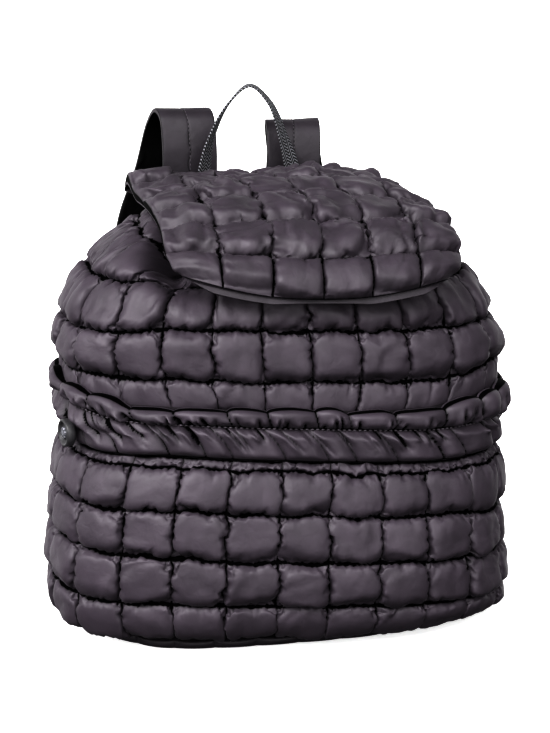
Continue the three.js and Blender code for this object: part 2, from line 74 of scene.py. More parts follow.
SACK = table("z half front back", [
    (12.5, 144, -66, 83), (60, 165.5, -86, 97), (120, 165, -88, 98.5), (176, 159, -88, 93),
    (190, 164.5, -90, 93), (217.5, 172.5, -90, 99), (257, 167, -88, 97), (292, 148, -75, 93),
    (318, 112, -52, 87), (331, 94, -38, 82.5),
])
SACK_ROWS = table("z puff folds", [
    (188, 7.5, 1), (217.5, 10, 1), (257, 10, 2.2), (292, 8, 2.8), (318, 4, 2.8), (331, 0, 1),
])
SACK_FOOT = 12.5
# A deep hollow beside the flap's left edge, where the cloth folds in under it
SACK_HOLLOW = {"by": 42.0, "share": -0.312, "slant": -0.003, "wide": 0.05, "z": 316, "tall": 28}
POCKET_ROWS = table("z puff", [(12.5, 8), (43, 10), (80.5, 10), (118, 10), (151, 5), (158, 0)])
BACK_ROWS = table("z puff", [(z, 5) for z in (12.5, 50, 88, 126, 164, 202, 240, 278, 308, 334)])
CASING_ROWS = table("z puff base", [(159, 11, 0.5), (185, 10.5, 1.5), (198.5, 0, 1.5)])
# How far the casing's sewn line and its top rise towards its ends, between these distances from the middle
CASING_LEFT = {"sewn": 19.0, "top": 12.0, "from": 100, "to": 172}
CASING_RIGHT = {"sewn": 0.0, "top": 4.5, "from": 80, "to": 115}
BASE_RINGS = table("z inset scallop", [
    (0, 16, 0), (1, 11.5, 2), (3, 8.2, 4), (6, 6.6, 5), (8, 7, 4), (8.3, 9.5, 0),
])
BASE_CELLS = 26
BASE_ROUND = 0.45  # power of the sine that shapes them
BASE_STEPS = 480
BASE_INWARD = (0.6, 0.02)  # shares of the oval where its flat faces have points
BASE_CORNER = {"by": 10.0, "from": 100, "to": 160}  # its ends lie further in
BASE_PAINTED_SHADE = 0.45  # painted shade: the base's edge is darkened as if in shade under the pocket
FLAP_LINE = [
    (85, 335.5), (77, 345), (44, 351), (0, 350), (-45, 340), (-82, 322), (-103, 303), (-110.5, 286.5),
]
FLAP_COLUMNS = 6
FLAP_ROWS = (0, 0.16, 0.335, 0.51, 0.685, 0.86, 1)
FLAP_PUFF = 8.5
FLAP_REAR_HALF = 103.0
FLAP_FRONT_HALF = 115.0
FLAP_DROOP = {"left": 16, "right": 19, "power": 3.4, "full": 0.25}
FLAP_DIP = {"by": 6.5, "x": -28, "width": 45, "from": 0.08, "to": 0.5}
FLAP_CORNER = {"by": 0.17, "power": 2.5, "from": 0.3}
FLAP_ROUND = {"by": 0.1, "power": 6, "from": 0.8}  # the corners of the lip are rounder still
FLAP_SPREAD = 0.7
FLAP_STEP = 0.01  # between places that give the way out of it
FLAP_REAR_SHIFT = -10.0
FLAP_FRONT_SHIFT = 11.0
FACING = 1.5
FACING_TOP = -2.5
FACING_REAR = 0.05
FACING_LIP = 1.011
FACING_CORNER = 1.0
FACING_TURN = 0.7  # from here on its lip runs back to the corner
FACING_STEPS = (61, 81)
FACING_PAINTED_SHADE = 0.4  # painted shade: it is darkened as if in the shade of the lip
FACING_SIDE = 0.94
STRAP_LINE = [
    (43, 107.6, 296), (43, 108, 330), (44, 109.3, 362), (45, 117, 381), (47, 131, 384), (51, 147, 370),
    (58, 158, 338), (74, 169, 275), (87, 171, 215), (97, 164, 160), (104, 152, 122),
]
STRAP_WIDTH = 45.0
STRAP_EDGE = 1.6
STRAP_PUFF = 3.4
STRAP_STITCH = 0.5  # how far the stitches of a strap's middle stand out of its seam
STRAP_SAMPLES = 400
STRAP_RISE = {"left": 9, "right": -2, "from": 330, "to": 380}
STRAP_SHIFT = {"by": -12, "from": 200, "to": 330}
WEBBING_LINE = [(107.5, 145, 105), (110, 127, 74), (112, 105, 46), (113, 91, 28)]
WEBBING_TILT = 0.38
WEBBING_WIDTH = 25.0
WEBBING_THICKNESS = 2.0
WEBBING_STEPS = 60
HANDLE_LINE = [
    (-46, 95.7, 322), (-46, 96, 345), (-41, 95, 374), (-26, 94, 404), (-8, 95, 418),
    (8, 94, 404), (20, 95, 374), (29, 97, 345), (33, 97.2, 322),
]
HANDLE_TURN = (10, 35, 57, 68, 78, 65, 48, 20, 5)
HANDLE_WIDTH = 14.0
HANDLE_THICKNESS = 2.0
HANDLE_STEPS = 160
TOGGLE = {
    "share": -0.415, "z": 174, "out": 13, "turn": -5, "radius": 11, "depth": 8, "recess": 2.5, "rim": 2.5,
}

# The quilted cloth
CELL = 40.0  # nominal width of a quilted square
STEP = 2.3  # spacing of the simulated cloth
SUBSTEPS = (4, 3, 2)  # points put between simulated ones, from a seam inwards
SEAM_SINK = -1.2  # how deep the seams lie
CLOTH_SHARE = 0.45  # how much of a square's height follows the simulated cloth
CELL_PUFF = 10.0  # nominal height of a quilted square
FULLNESS = 1.1  # height of the squares against the part's, which have flat tops
SAG = 0.17  # how far a square hangs down over the seam below it, as a share of its height


def at_level(rows, key, z):
    """A column of a table at height z, on a smooth curve through its rows."""
    zs, values = rows["z"], rows[key]
    z = np.clip(z, zs[0], zs[-1])
    i = np.searchsorted(zs[1:-1], z, side="left")
    k = np.arange(len(zs))
    low, high = np.maximum(k - 1, 0), np.minimum(k + 1, len(zs) - 1)
    slope = (values[high] - values[low]) / (zs[high] - zs[low])
    span = zs[i + 1] - zs[i]
    t = (z - zs[i]) / span
    ease = t * t * (3 - 2 * t)
    lead, tail = t * (1 - t) ** 2 * span, t * t * (t - 1) * span
    return values[i] * (1 - ease) + values[i + 1] * ease + slope[i] * lead + slope[i + 1] * tail


def smoothstep(value, low, high):
    t = np.clip((value - low) / (high - low), 0, 1)
    return t * t * (3 - 2 * t)


def unit(v):
    return v / np.linalg.norm(v, axis=-1, keepdims=True)


def signed_power(value, power):
    return np.sign(value) * np.abs(value) ** power


def distances(points):
    """How far each point of a line is from its start, along it."""
    return np.concatenate([[0], np.cumsum(np.linalg.norm(np.diff(points, axis=0), axis=1))])


def round_turn(count):
    """The angles of count points round a ring."""
    return np.linspace(0, 2 * math.pi, count + 1)[:-1]


def settle(p):
    """The place of points after the filled bag has settled."""
    x, y, z = p[..., 0], p[..., 1], p[..., 2]
    sunk = at_level(SETTLED, "drop", z) * x + at_level(SETTLED, "sag", z) * (x / SAG_HALF) ** 2
    side = np.where(x < 0, at_level(SETTLED, "left", z), at_level(SETTLED, "right", z))
    sunk = sunk + side * smoothstep(np.abs(x), *FAR_SIDE)
    return np.stack([x + at_level(SETTLED, "lean", z), y, z - sunk], -1)


class Skin:
    """Superellipse sections of a table, measured along their outline from the front at 0 to the back at 1."""

    SAMPLES = 720
    RISE = 1.5
    STEP = 0.006

    def __init__(self, rows):
        self.low, self.high = rows["z"][0], rows["z"][-1]
        count = int(round((self.high - self.low) / self.RISE)) + 1
        self.levels = np.linspace(self.low, self.high, count)
        turn = np.linspace(0, math.pi, self.SAMPLES + 1)
        power = 2 / np.where(turn < math.pi / 2, FRONT_ROUNDNESS, BACK_ROUNDNESS)
        wide = np.abs(np.sin(turn)) ** power
        ahead = signed_power(np.cos(turn), power)
        even = np.linspace(0, 1, self.SAMPLES + 1)
        self.places = np.empty((count, self.SAMPLES + 1, 2))
        self.seams = np.empty(count)
        for k, z in enumerate(self.levels):
            front, back = at_level(rows, "front", z), at_level(rows, "back", z)
            x = at_level(rows, "half", z) * wide
            y = (front + back) / 2 - (back - front) / 2 * ahead
            along = np.concatenate([[0], np.cumsum(np.hypot(np.diff(x), np.diff(y)))])
            along /= along[-1]
            self.places[k, :, 0] = np.interp(even, along, x)
            self.places[k, :, 1] = np.interp(even, along, y)
            edge = at_level(BODY, "panel", z)
            self.seams[k] = along[np.nonzero(x >= edge)[0][-1]]

    def seam(self, z):
        """The share where the back panel's edge runs."""
        return np.interp(z, self.levels, self.seams)

    def point(self, share, z):
        share = (share + 1) % 2 - 1
        a = np.abs(share) * self.SAMPLES
        b = (np.clip(z, self.low, self.high) - self.low) / (self.high - self.low) * (len(self.levels) - 1)
        i = np.minimum(a.astype(int), self.SAMPLES - 1)
        j = np.minimum(b.astype(int), len(self.levels) - 2)
        s, t = (a - i)[..., None], (b - j)[..., None]
        g = self.places
        below, above = (g[j + k, i] * (1 - s) + g[j + k, i + 1] * s for k in (0, 1))
        p = below * (1 - t) + above * t
        x = np.where(share < 0, -p[..., 0], p[..., 0])
        return np.stack([x, p[..., 1], np.broadcast_to(z, share.shape)], -1)

    def outward(self, share, z):
        across = self.point(share + self.STEP, z) - self.point(share - self.STEP, z)
        up = self.point(share, z + self.RISE) - self.point(share, z - self.RISE)
        return unit(np.cross(across, up))

    def offset(self, share, z, distance):
        return self.point(share, z) + self.outward(share, z) * np.asarray(distance)[..., None]


class Line:
    """A centripetal curve through points, measured along its length from 0 to 1."""

    FINE = 64

    def __init__(self, points):
        p = np.array(points, float)
        p = np.vstack([2 * p[0] - p[1], p, 2 * p[-1] - p[-2]])
        knots = np.concatenate([[0], np.cumsum(np.linalg.norm(np.diff(p, axis=0), axis=1) ** 0.5)])
        made = []
        for k in range(1, len(p) - 2):
            t = np.linspace(knots[k], knots[k + 1], self.FINE, endpoint=False)[:, None]
            made.append(self.piece(p[k - 1:k + 3], knots[k - 1:k + 3], t))
        made.append(p[-2][None])
        self.fine = np.vstack(made)
        self.along = distances(self.fine)
        self.length = self.along[-1]

    @staticmethod
    def piece(p, knot, t):
        def mix(a, b, k, m):
            return (a * (knot[m] - t) + b * (t - knot[k])) / (knot[m] - knot[k])

        a, b, c = mix(p[0], p[1], 0, 1), mix(p[1], p[2], 1, 2), mix(p[2], p[3], 2, 3)
        return mix(mix(a, b, 0, 2), mix(b, c, 1, 3), 1, 2)

    def at(self, share):
        along = np.clip(share, 0, 1) * self.length
        return np.stack([np.interp(along, self.along, self.fine[:, k]) for k in range(3)], -1)

    def tangent(self, share, step=0.004):
        share = np.clip(share, 0, 1)
        return unit(self.at(np.minimum(share + step, 1)) - self.at(np.maximum(share - step, 0)))


body_skin = Skin(BODY)
sack_skin = Skin(SACK)


# Cloth simulation of a flat quilted sheet
FRAMES = 14
QUALITY = 6
PRESSURE = 10.0
TENSION = 40.0
BENDING = 0.03
SEAM_WANDER = 0.025  # how far a seam wanders, as a share of a square
WANDER_STEPS = (4, 5)  # simulated points from one wander to the next
START_HEIGHT = 0.06
START_ROUGHNESS = 0.02
FEWEST = 4  # simulated steps across a square


class Cut:
    """Lines across a quilted sheet: even ones to simulate, and finer ones near its seams."""

    def __init__(self, edges, step):
        edges = np.asarray(edges, float)
        even, seams, fine = [], [], []
        for a, b in zip(edges[:-1], edges[1:]):
            n = max(FEWEST, int(round((b - a) / step)))
            for k in range(n):
                near = min(k, n - 1 - k)
                parts = SUBSTEPS[near] if near < len(SUBSTEPS) else 1
                fine.extend(len(even) + k + np.arange(parts) / parts)
            even.extend(a + (b - a) * np.arange(n) / n)
            seams.extend([True] + [False] * (n - 1))
        self.even = np.array(even + [edges[-1]])
        self.seams = np.array(seams + [True])
        self.fine = np.array(fine + [len(even)])
        self.flat = np.interp(self.fine, np.arange(len(self.even)), self.even)
        self.cell = np.clip(np.searchsorted(edges, self.flat, side="right") - 1, 0, len(edges) - 2)
        self.length = np.diff(edges)[self.cell]
        self.share = (self.flat - edges[self.cell]) / self.length


def grid_faces(rows, columns, ring=False):
    j, i = np.meshgrid(np.arange(rows - 1), np.arange(columns if ring else columns - 1), indexing="ij")
    k = (i + 1) % columns
    corners = [j * columns + i, j * columns + k, (j + 1) * columns + k, (j + 1) * columns + i]
    return np.stack(corners, -1).reshape(-1, 4)


def smooth_noise(rng, shape, spacing):
    """Random numbers that change smoothly along a grid."""
    out = rng.standard_normal([max(2, n // spacing + 2) for n in shape])
    for axis, n in enumerate(shape):
        places = np.linspace(0, out.shape[axis] - 1, n)
        low = np.minimum(places.astype(int), out.shape[axis] - 2)
        t = places - low
        t = t * t * (3 - 2 * t)
        t = t.reshape([-1 if a == axis else 1 for a in range(out.ndim)])
        out = np.take(out, low, axis) * (1 - t) + np.take(out, low + 1, axis) * t
    return out


def noise_at(rng, u, v):
    """Random numbers at places, changing smoothly from one whole place to the next."""
    u, v = u - u.min(), v - v.min()
    grid = rng.standard_normal((int(v.max()) + 2, int(u.max()) + 2))
    i, j = u.astype(int), v.astype(int)
    s, t = smoothstep(u - i, 0, 1), smoothstep(v - j, 0, 1)
    below, above = (grid[j + k, i] * (1 - s) + grid[j + k, i + 1] * s for k in (0, 1))
    return below * (1 - t) + above * t


def crumple(rng, x, y, spacing):
    """Folds of crumpled cloth at places in millimetres: 0 along the lines where they fold, with rounded
    ridges between.
    """
    bend = [noise_at(rng, x / spacing / 2, y / spacing / 2) for _ in range(2)]
    return np.minimum(np.abs(noise_at(rng, x / spacing + bend[0], y / spacing + bend[1])), FOLD_HIGHEST)


def swell(across, up, grow, rng):
    """Blows up a flat sheet between its sewn seams: a grid of along, up and height, in millimetres."""
    shape = (len(up.even), len(across.even))
    x, y = np.meshgrid(across.even, up.even)
    sewn = across.seams[None, :] | up.seams[:, None]
    s, t = (np.interp(np.arange(len(c.even)), c.fine, c.share) for c in (across, up))
    dome = np.sin(np.pi * s)[None, :] * np.sin(np.pi * t)[:, None]
    inside = np.ones(shape)
    inside[[0, -1], :] = 0
    inside[:, [0, -1]] = 0
    wander = SEAM_WANDER * inside
    start = np.stack([
        x / CELL + wander * smooth_noise(rng, shape, WANDER_STEPS[0]),
        y / CELL + wander * smooth_noise(rng, shape, WANDER_STEPS[1]),
        np.where(sewn, 0, dome * (START_HEIGHT + START_ROUGHNESS * rng.standard_normal(shape))),
    ], -1)
    mesh = bpy.data.meshes.new("sheet")
    mesh.from_pydata(start.reshape(-1, 3).tolist(), [], grid_faces(*shape).tolist())
    sheet = bpy.data.objects.new("sheet", mesh)
    bpy.context.scene.collection.objects.link(sheet)
    pins = sheet.vertex_groups.new(name="pins")
    pins.add(np.nonzero(sewn.ravel())[0].tolist(), 1.0, "REPLACE")
    cloth = sheet.modifiers.new("cloth", "CLOTH")
    settings = cloth.settings
    settings.vertex_group_mass = "pins"
    settings.shrink_min = 1 - grow
    settings.use_pressure = True
    settings.uniform_pressure_force = PRESSURE
    settings.effector_weights.gravity = 0
    settings.tension_stiffness = TENSION
    settings.compression_stiffness = TENSION
    settings.bending_stiffness = BENDING
    settings.quality = QUALITY
    cloth.collision_settings.use_collision = False
    for k in range(1, FRAMES + 1):
        bpy.context.scene.frame_set(k)
    got = sheet.evaluated_get(bpy.context.evaluated_depsgraph_get()).data
    points = np.empty(len(got.vertices) * 3)
    got.vertices.foreach_get("co", points)
    bpy.context.scene.frame_set(1)
    bpy.data.objects.remove(sheet)
    bpy.data.meshes.remove(mesh)
    return points.reshape(*shape, 3) * CELL


def between(grid, places, axis):
    """Values of a grid at places between its lines, on smooth curves."""
    g = np.moveaxis(grid, axis, 0)
    g = np.concatenate([2 * g[:1] - g[1:2], g, 2 * g[-1:] - g[-2:-1]])
    k = np.minimum(places.astype(int), len(g) - 4)
    t = (places - k).reshape(-1, *[1] * (g.ndim - 1))
    a, b, c, d = g[k], g[k + 1], g[k + 2], g[k + 3]
    out = 0.5 * (2 * b + (c - a) * t + (2 * a - 5 * b + 4 * c - d) * t * t + (3 * b - a - 3 * c + d) * t ** 3)
    return np.moveaxis(out, 0, axis)


def flatten(height, limit, power=2.6):
    """Pillow height with a flat top."""
    height = np.maximum(height, 0)
    return height / (1 + (height / limit) ** power) ** (1 / power)


def shoulder(distance, radius, power=2.4):
    """Share of a padded edge's height: 0 at its seam, 1 at its radius. A low power makes a slope."""
    t = np.clip(distance / radius, 0, 1)
    return (1 - (1 - t) ** power) ** (1 / power)


# How far a gather strays from its place, and powers and shares that make its depth, width and slope differ
GATHER = {"stray": 0.8, "depth": 1.6, "narrowest": 0.6, "wider": 0.8, "slope": 1.2}


def gathers(rng, cell, share, length, count, deep, width):
    """How far small folds cut into the squares from one of their edges, in millimetres, by square."""
    cells = len(deep)
    places = (np.arange(count) + 0.5 + GATHER["stray"] * (rng.random((cells, count)) - 0.5)) / count
    depths = deep[:, None] * rng.random((cells, count)) ** GATHER["depth"]
    widths = width[:, None] * (GATHER["narrowest"] + GATHER["wider"] * rng.random((cells, count)))
    out = np.zeros(cell.shape)
    for k in range(count):
        away = np.abs(share - places[cell, k]) * length / widths[cell, k]
        out = np.maximum(out, depths[cell, k] * np.exp(-away ** GATHER["slope"]))
    return out


def square_edges(*edges):
    """A square's left, right, lower and upper edge.

    Each has the radius and roundness of its padding, the width of the painted shade in its crevice, and the
    count, depth and width of its gathers.
    """
    return dict(zip(("left", "right", "below", "above"), edges))


SOFT = square_edges(
    (3.4, 2.4, 1.0, 2, 4.0, 1.6), (3.4, 2.4, 1.0, 3, 2.6, 1.4),
    (5.0, 2.0, 1.5, 4, 1.4, 2.6), (2.8, 2.4, 1.6, 7, 2.6, 1.6),
)
CRUMPLED = square_edges(
    (3.4, 2.4, 1.7, 4, 3.6, 1.6), (3.4, 2.4, 1.7, 4, 3.6, 1.6),
    (6.0, 2.0, 1.8, 4, 2.4, 2.2), (2.8, 2.4, 1.8, 6, 2.6, 1.6),
)
LIP = square_edges(
    (3.4, 2.4, 0.9, 4, 2.4, 1.6), (3.4, 2.4, 0.9, 4, 1.6, 1.6),
    (4.0, 2.4, 0.8, 4, 0.2, 3.0), (2.8, 2.4, 1.8, 6, 2.6, 1.6),
)
STRIP = square_edges(
    (1.0, 2.4, 0.3, 2, 0.5, 3.0), (1.0, 2.4, 0.3, 3, 0.3, 3.0),
    (2.0, 2.4, 0.9, 4, 0.5, 6.0), (2.0, 2.4, 0.9, 7, 0.5, 6.0),
)
FIRM = square_edges(
    (2.4, 2.4, 0.8, 4, 0.3, 3.0), (2.4, 2.4, 0.8, 4, 0.3, 3.0),
    (2.4, 2.4, 0.8, 2, 0.3, 3.0), (2.4, 2.4, 0.8, 2, 0.3, 3.0),
)
ROUNDEST = 0.45  # a padded edge's radius is at most this share of its square
CREVICE = 0.25  # painted shade: share of a crevice that is painted fully dark
FOLD_REACH = 7.0  # how far a gather runs on into a square
FOLD_DIP = 0.6  # how deep it is there
FOLD_SHADE = 0.5  # how dark the painted shade in a gather is
FOLD_SHADED = (0.8, 2.4)  # depths of a gather where its painted shade starts and is full
# Flat facets of a square: the way each one faces and how that varies, where it starts, and its slope
FACETS = table("way vary nearest farthest flattest steepest", [
    (-90, 14, 3, 9, 0.5, 0.9),
    (-45, 30, 8, 16, 0.15, 0.45),
    (-135, 30, 8, 16, 0.15, 0.45),
    (90, 40, 9, 15, 0.1, 0.3),
    (0, 40, 10, 16, 0.1, 0.3),
    (180, 40, 10, 16, 0.1, 0.3),
])
FACET_BLEND = 0.25  # how softly one facet runs into the next
THINNEST = 0.2  # padding that the facets leave, as a share
FOLD_SPACING = (22.0, 11.0)  # between crumpled folds, large and small
FOLDS = (1.3, 0.6)  # how deep they are
FLAP_FOLDS = (4.2, 1.8)  # the flap is crumpled more
FLAP_LIP_FOLDS = 0.2  # but its lip only by this share
RIM = 16.0  # how far in a bound edge keeps the cloth smooth
FOLD_MEAN = 0.65  # a crumpled sheet's mean height, as a share of its folds' depth
FOLD_HIGHEST = 1.2  # and its greatest height
PEAK = {"vary": 0.05, "low": 0.2, "high": 0.6}  # how the level varies where a square is fullest
BELLY = {"below": 0.5, "power": 1.3}  # how a square loses height away from that level
UNEVEN = {"size": 0.05, "tilt": 0.12, "soft": 0.06, "steps": 9}  # how squares differ in height


def facets(rng, cells, cell, u, v):
    """How far the flat facets of the squares cut into their padding, at places from their middles."""
    f = FACETS
    kinds = len(f["way"])
    way = np.radians(f["way"] + f["vary"] * rng.uniform(-1, 1, (cells, kinds)))
    start = rng.uniform(f["nearest"], f["farthest"], (cells, kinds))
    slope = rng.uniform(f["flattest"], f["steepest"], (cells, kinds))
    cut = np.zeros(u.shape)
    for k in range(kinds):
        w = way[cell, k]
        one = slope[cell, k] * (u * np.cos(w) + v * np.sin(w) - start[cell, k])
        cut = (cut + one + np.sqrt((cut - one) ** 2 + FACET_BLEND ** 2)) / 2
    return cut - FACET_BLEND / 2


def quilt(columns, rows, seed, grow=1.3, step=STEP, edges=SOFT, special=None, gain=FULLNESS, fullest=0.34,
          top=0.8, uneven=1.0, hang=SAG, folds=FOLDS, cloth_share=CLOTH_SHARE, bound=False):
    """A padded sheet sewn in squares: a grid of along, up, out and how much painted shade darkens it, finer
    at the seams.

    The simulated cloth gives the wrinkles. The padding in each square sinks, so it is fullest low down.
    special holds other edges for some of the rows. A bound sheet has no gathers along its left and right
    edge.
    """
    rng = np.random.default_rng(seed)
    across, up = Cut(columns, step), Cut(rows["z"], step)
    cloth = swell(across, up, grow, rng)
    cloth = between(between(cloth, up.fine, 0), across.fine, 1)
    shape = cloth.shape[:2]
    cells = (len(columns) - 1) * (len(rows["z"]) - 1)
    cell = up.cell[:, None] * (len(columns) - 1) + across.cell[None, :]
    s, t = np.broadcast_to(across.share, shape), np.broadcast_to(up.share[:, None], shape)
    wide, tall = np.broadcast_to(across.length, shape), np.broadcast_to(up.length[:, None], shape)
    pad, dip, painted_shade = np.ones(shape), np.zeros(shape), np.zeros(shape)
    ways = {"left": (s, wide, t, tall), "right": (1 - s, wide, t, tall),
            "below": (t, tall, s, wide), "above": (1 - t, tall, s, wide)}
    outermost = {"left": 0, "right": len(columns) - 2}
    for side, (away, span, share, length) in ways.items():
        by_row = np.array([(special or {}).get(k, edges)[side] for k in range(len(rows["z"]) - 1)]).T
        radius, power, gap = (v[up.cell][:, None] for v in by_row[:3])
        deep, width = (np.repeat(v, len(columns) - 1) for v in by_row[4:])
        radius = np.minimum(radius, ROUNDEST * span)
        away = away * span
        fold = gathers(rng, cell, share, length, edges[side][3], deep * uneven, width)
        if bound and side in outermost:
            fold = np.where(across.cell == outermost[side], 0, fold)
        inside = away - fold * np.exp(-away / radius)
        pad = pad * shoulder(inside, radius, power)
        # Painted shade: the cloth is darkened in its crevices and in its gathers, where shade falls
        painted_shade = np.maximum(painted_shade, 1 - smoothstep(inside, CREVICE * gap, gap))
        run = fold * np.exp(-away / FOLD_REACH)
        painted_shade = np.maximum(painted_shade, FOLD_SHADE * smoothstep(run, *FOLD_SHADED))
        dip += FOLD_DIP * run
    puff = gain * rows["puff"][up.cell][:, None]
    wrinkled = 1 - (1 - np.minimum(flatten(cloth[..., 2], puff) / puff, 1)) ** 2
    peak = np.clip(fullest + PEAK["vary"] * rng.standard_normal(cells), PEAK["low"], PEAK["high"])[cell]
    lean = np.where(t < peak, (peak - t) / peak * BELLY["below"], (t - peak) / (1 - peak))
    belly = 1 - (1 - top) * lean ** BELLY["power"]
    tilt = UNEVEN["tilt"] * rng.standard_normal(cells)[cell] * (s - 0.5)
    size = 1 + uneven * (UNEVEN["size"] * rng.standard_normal(cells)[cell] + tilt)
    soft = UNEVEN["soft"] * uneven * smooth_noise(rng, shape, UNEVEN["steps"])
    cut = uneven * facets(rng, cells, cell, (s - 0.5) * wide, (t - 0.5) * tall)
    cut = cut * np.minimum(puff / CELL_PUFF, 1)
    flat = np.meshgrid(across.flat, up.flat)
    calm = np.broadcast_to(rows.get("folds", np.ones(len(rows["z"])))[up.cell][:, None], shape)
    if bound:
        calm = calm * smoothstep(np.minimum(flat[0], columns[-1] - flat[0]), 1, RIM)
    loose = np.minimum(calm, 1)
    cloth_share = cloth_share * loose
    full = puff * belly * (size + soft) * (1 - cloth_share + cloth_share * wrinkled)
    for spacing, deep in zip(FOLD_SPACING, folds):
        full = full + calm * deep * (crumple(rng, *flat, spacing) - FOLD_MEAN)
    out = np.maximum(full - cut, THINNEST * full) * pad - dip * pad
    along, high = (flat[k] + loose * (cloth[..., k] - flat[k]) for k in (0, 1))
    return np.stack([along, high - hang * out, out, painted_shade], -1)


SHADE_SEAM_LEVEL = 0.6  # painted shade: faces shaded more than this, deep in the seams, get the near-black painted-shade look


class Shape:
    """Grids of points collected into one mesh, each with its own unwrapped places in metres."""

    def __init__(self):
        self.points, self.faces, self.spots, self.looks, self.painted_shades = [], [], [], [], []
        self.count = 0

    def grid(self, points, spots, look=0, ring=False, flip=False, painted_shade=0.0, seam=None):
        """Adds a grid. Faces that are dark with painted shade all through get the look seam, when one is
        given.
        """
        rows, columns = points.shape[:2]
        painted_shade = np.broadcast_to(painted_shade, (rows, columns)).ravel()
        self.painted_shades.append(painted_shade)
        faces = grid_faces(rows, columns, ring)
        if seam is not None:
            look = np.where(painted_shade[faces].mean(1) > SHADE_SEAM_LEVEL, seam, look)
        faces = faces + self.count
        self.points.append(points.reshape(-1, 3) * MM)
        self.spots.append(np.broadcast_to(spots, (rows, columns, 2)).reshape(-1, 2) * MM)
        self.faces.append(faces[:, ::-1] if flip else faces)
        self.looks.append(np.broadcast_to(look, len(faces)))
        self.count += rows * columns
        return self

    def quilted(self, place, grid):
        """Adds a quilted grid, put on the bag by place, with the look 2 as painted shade deep in its seams.
        """
        points = place(grid[..., 0], grid[..., 1], grid[..., 2] + SEAM_SINK)
        return self.grid(points, grid[..., :2], painted_shade=grid[..., 3], seam=2)

    def build(self, name, materials, slot):
        points, faces = np.vstack(self.points), np.vstack(self.faces)
        mesh = bpy.data.meshes.new(name)
        mesh.from_pydata(points.tolist(), [], faces.tolist())
        layer = mesh.uv_layers.new(name="cloth")
        layer.data.foreach_set("uv", np.vstack(self.spots)[faces.ravel()].ravel())
        # Painted shade, kept with the mesh for its material
        painted_shade = mesh.attributes.new("painted_shade", "FLOAT", "POINT")
        painted_shade.data.foreach_set("value", np.concatenate(self.painted_shades))
        mesh.polygons.foreach_set("use_smooth", np.ones(len(faces), bool))
        mesh.polygons.foreach_set("material_index", np.concatenate(self.looks))
        for material in materials:
            mesh.materials.append(material)
        mesh.validate()
        mesh.update()
        piece = bpy.data.objects.new(name, mesh)
        bpy.context.scene.collection.objects.link(piece)
        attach(piece, "root")
        return piece


STITCH = [(-0.5, 0.1), (-0.38, 0.8), (0, 1), (0.38, 0.8), (0.5, 0.1)]  # shares of its length and radius
STITCH_ROUND = 6


def stitches(shape, line, out, look, length=2.0, gap=1.5, radius=0.35):
    """Adds a row of short stitches along a line of points, with the way out of the cloth at each."""
    along = distances(line)
    turn = round_turn(STITCH_ROUND)
    for start in np.arange(gap, along[-1] - length, length + gap):
        ends = [np.array([np.interp(start + k, along, line[:, a]) for a in range(3)]) for k in (0, length)]
        way = unit(ends[1] - ends[0])
        up = np.array([np.interp(start, along, out[:, a]) for a in range(3)])
        up = unit(up - way * up.dot(way))
        side = np.cross(way, up)
        ring = np.cos(turn)[:, None] * side + np.sin(turn)[:, None] * up
        middle = (ends[0] + ends[1]) / 2
        points = np.array([middle + way * (a * length) + ring * (b * radius) for a, b in STITCH])
        shape.grid(points, points[..., :2], look=look, ring=True)


def border(grid):
    """The points round a grid's edge, in order."""
    return np.concatenate([grid[0], grid[1:, -1], grid[-1, -2::-1], grid[-2:0:-1, 0]])


def panel(name, place, grid, lining_columns, lining_rows, replaced, shape=None, cover=None):
    """A quilted panel with a plain lining behind it. place puts along, up and out on the bag."""
    shape = (shape or Shape()).quilted(place, grid)
    rim = border(grid)
    outer = place(rim[:, 0], rim[:, 1], rim[:, 2] + SEAM_SINK)
    inner = place(rim[:, 0], rim[:, 1], -WALL)
    shape.grid(np.stack([inner, outer]), np.stack([rim[:, :2]] * 2), ring=True)
    x, y = np.meshgrid(lining_columns, lining_rows)
    shape.grid(place(x, y, -WALL), np.stack([x, y], -1), look=1, flip=True)
    piece = shape.build(name, [cover or nylon, lining, painted_shade_cloth, thread], "cloth")
    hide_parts(*replaced)
    return piece


# Materials
def srgb(red, green, blue):
    """A colour given as it looks on a screen, 0 to 255."""
    shares = (red / 255, green / 255, blue / 255)
    return [((c + 0.055) / 1.055) ** 2.4 if c > 10 / 255 else c / 12.92 for c in shares] + [1.0]


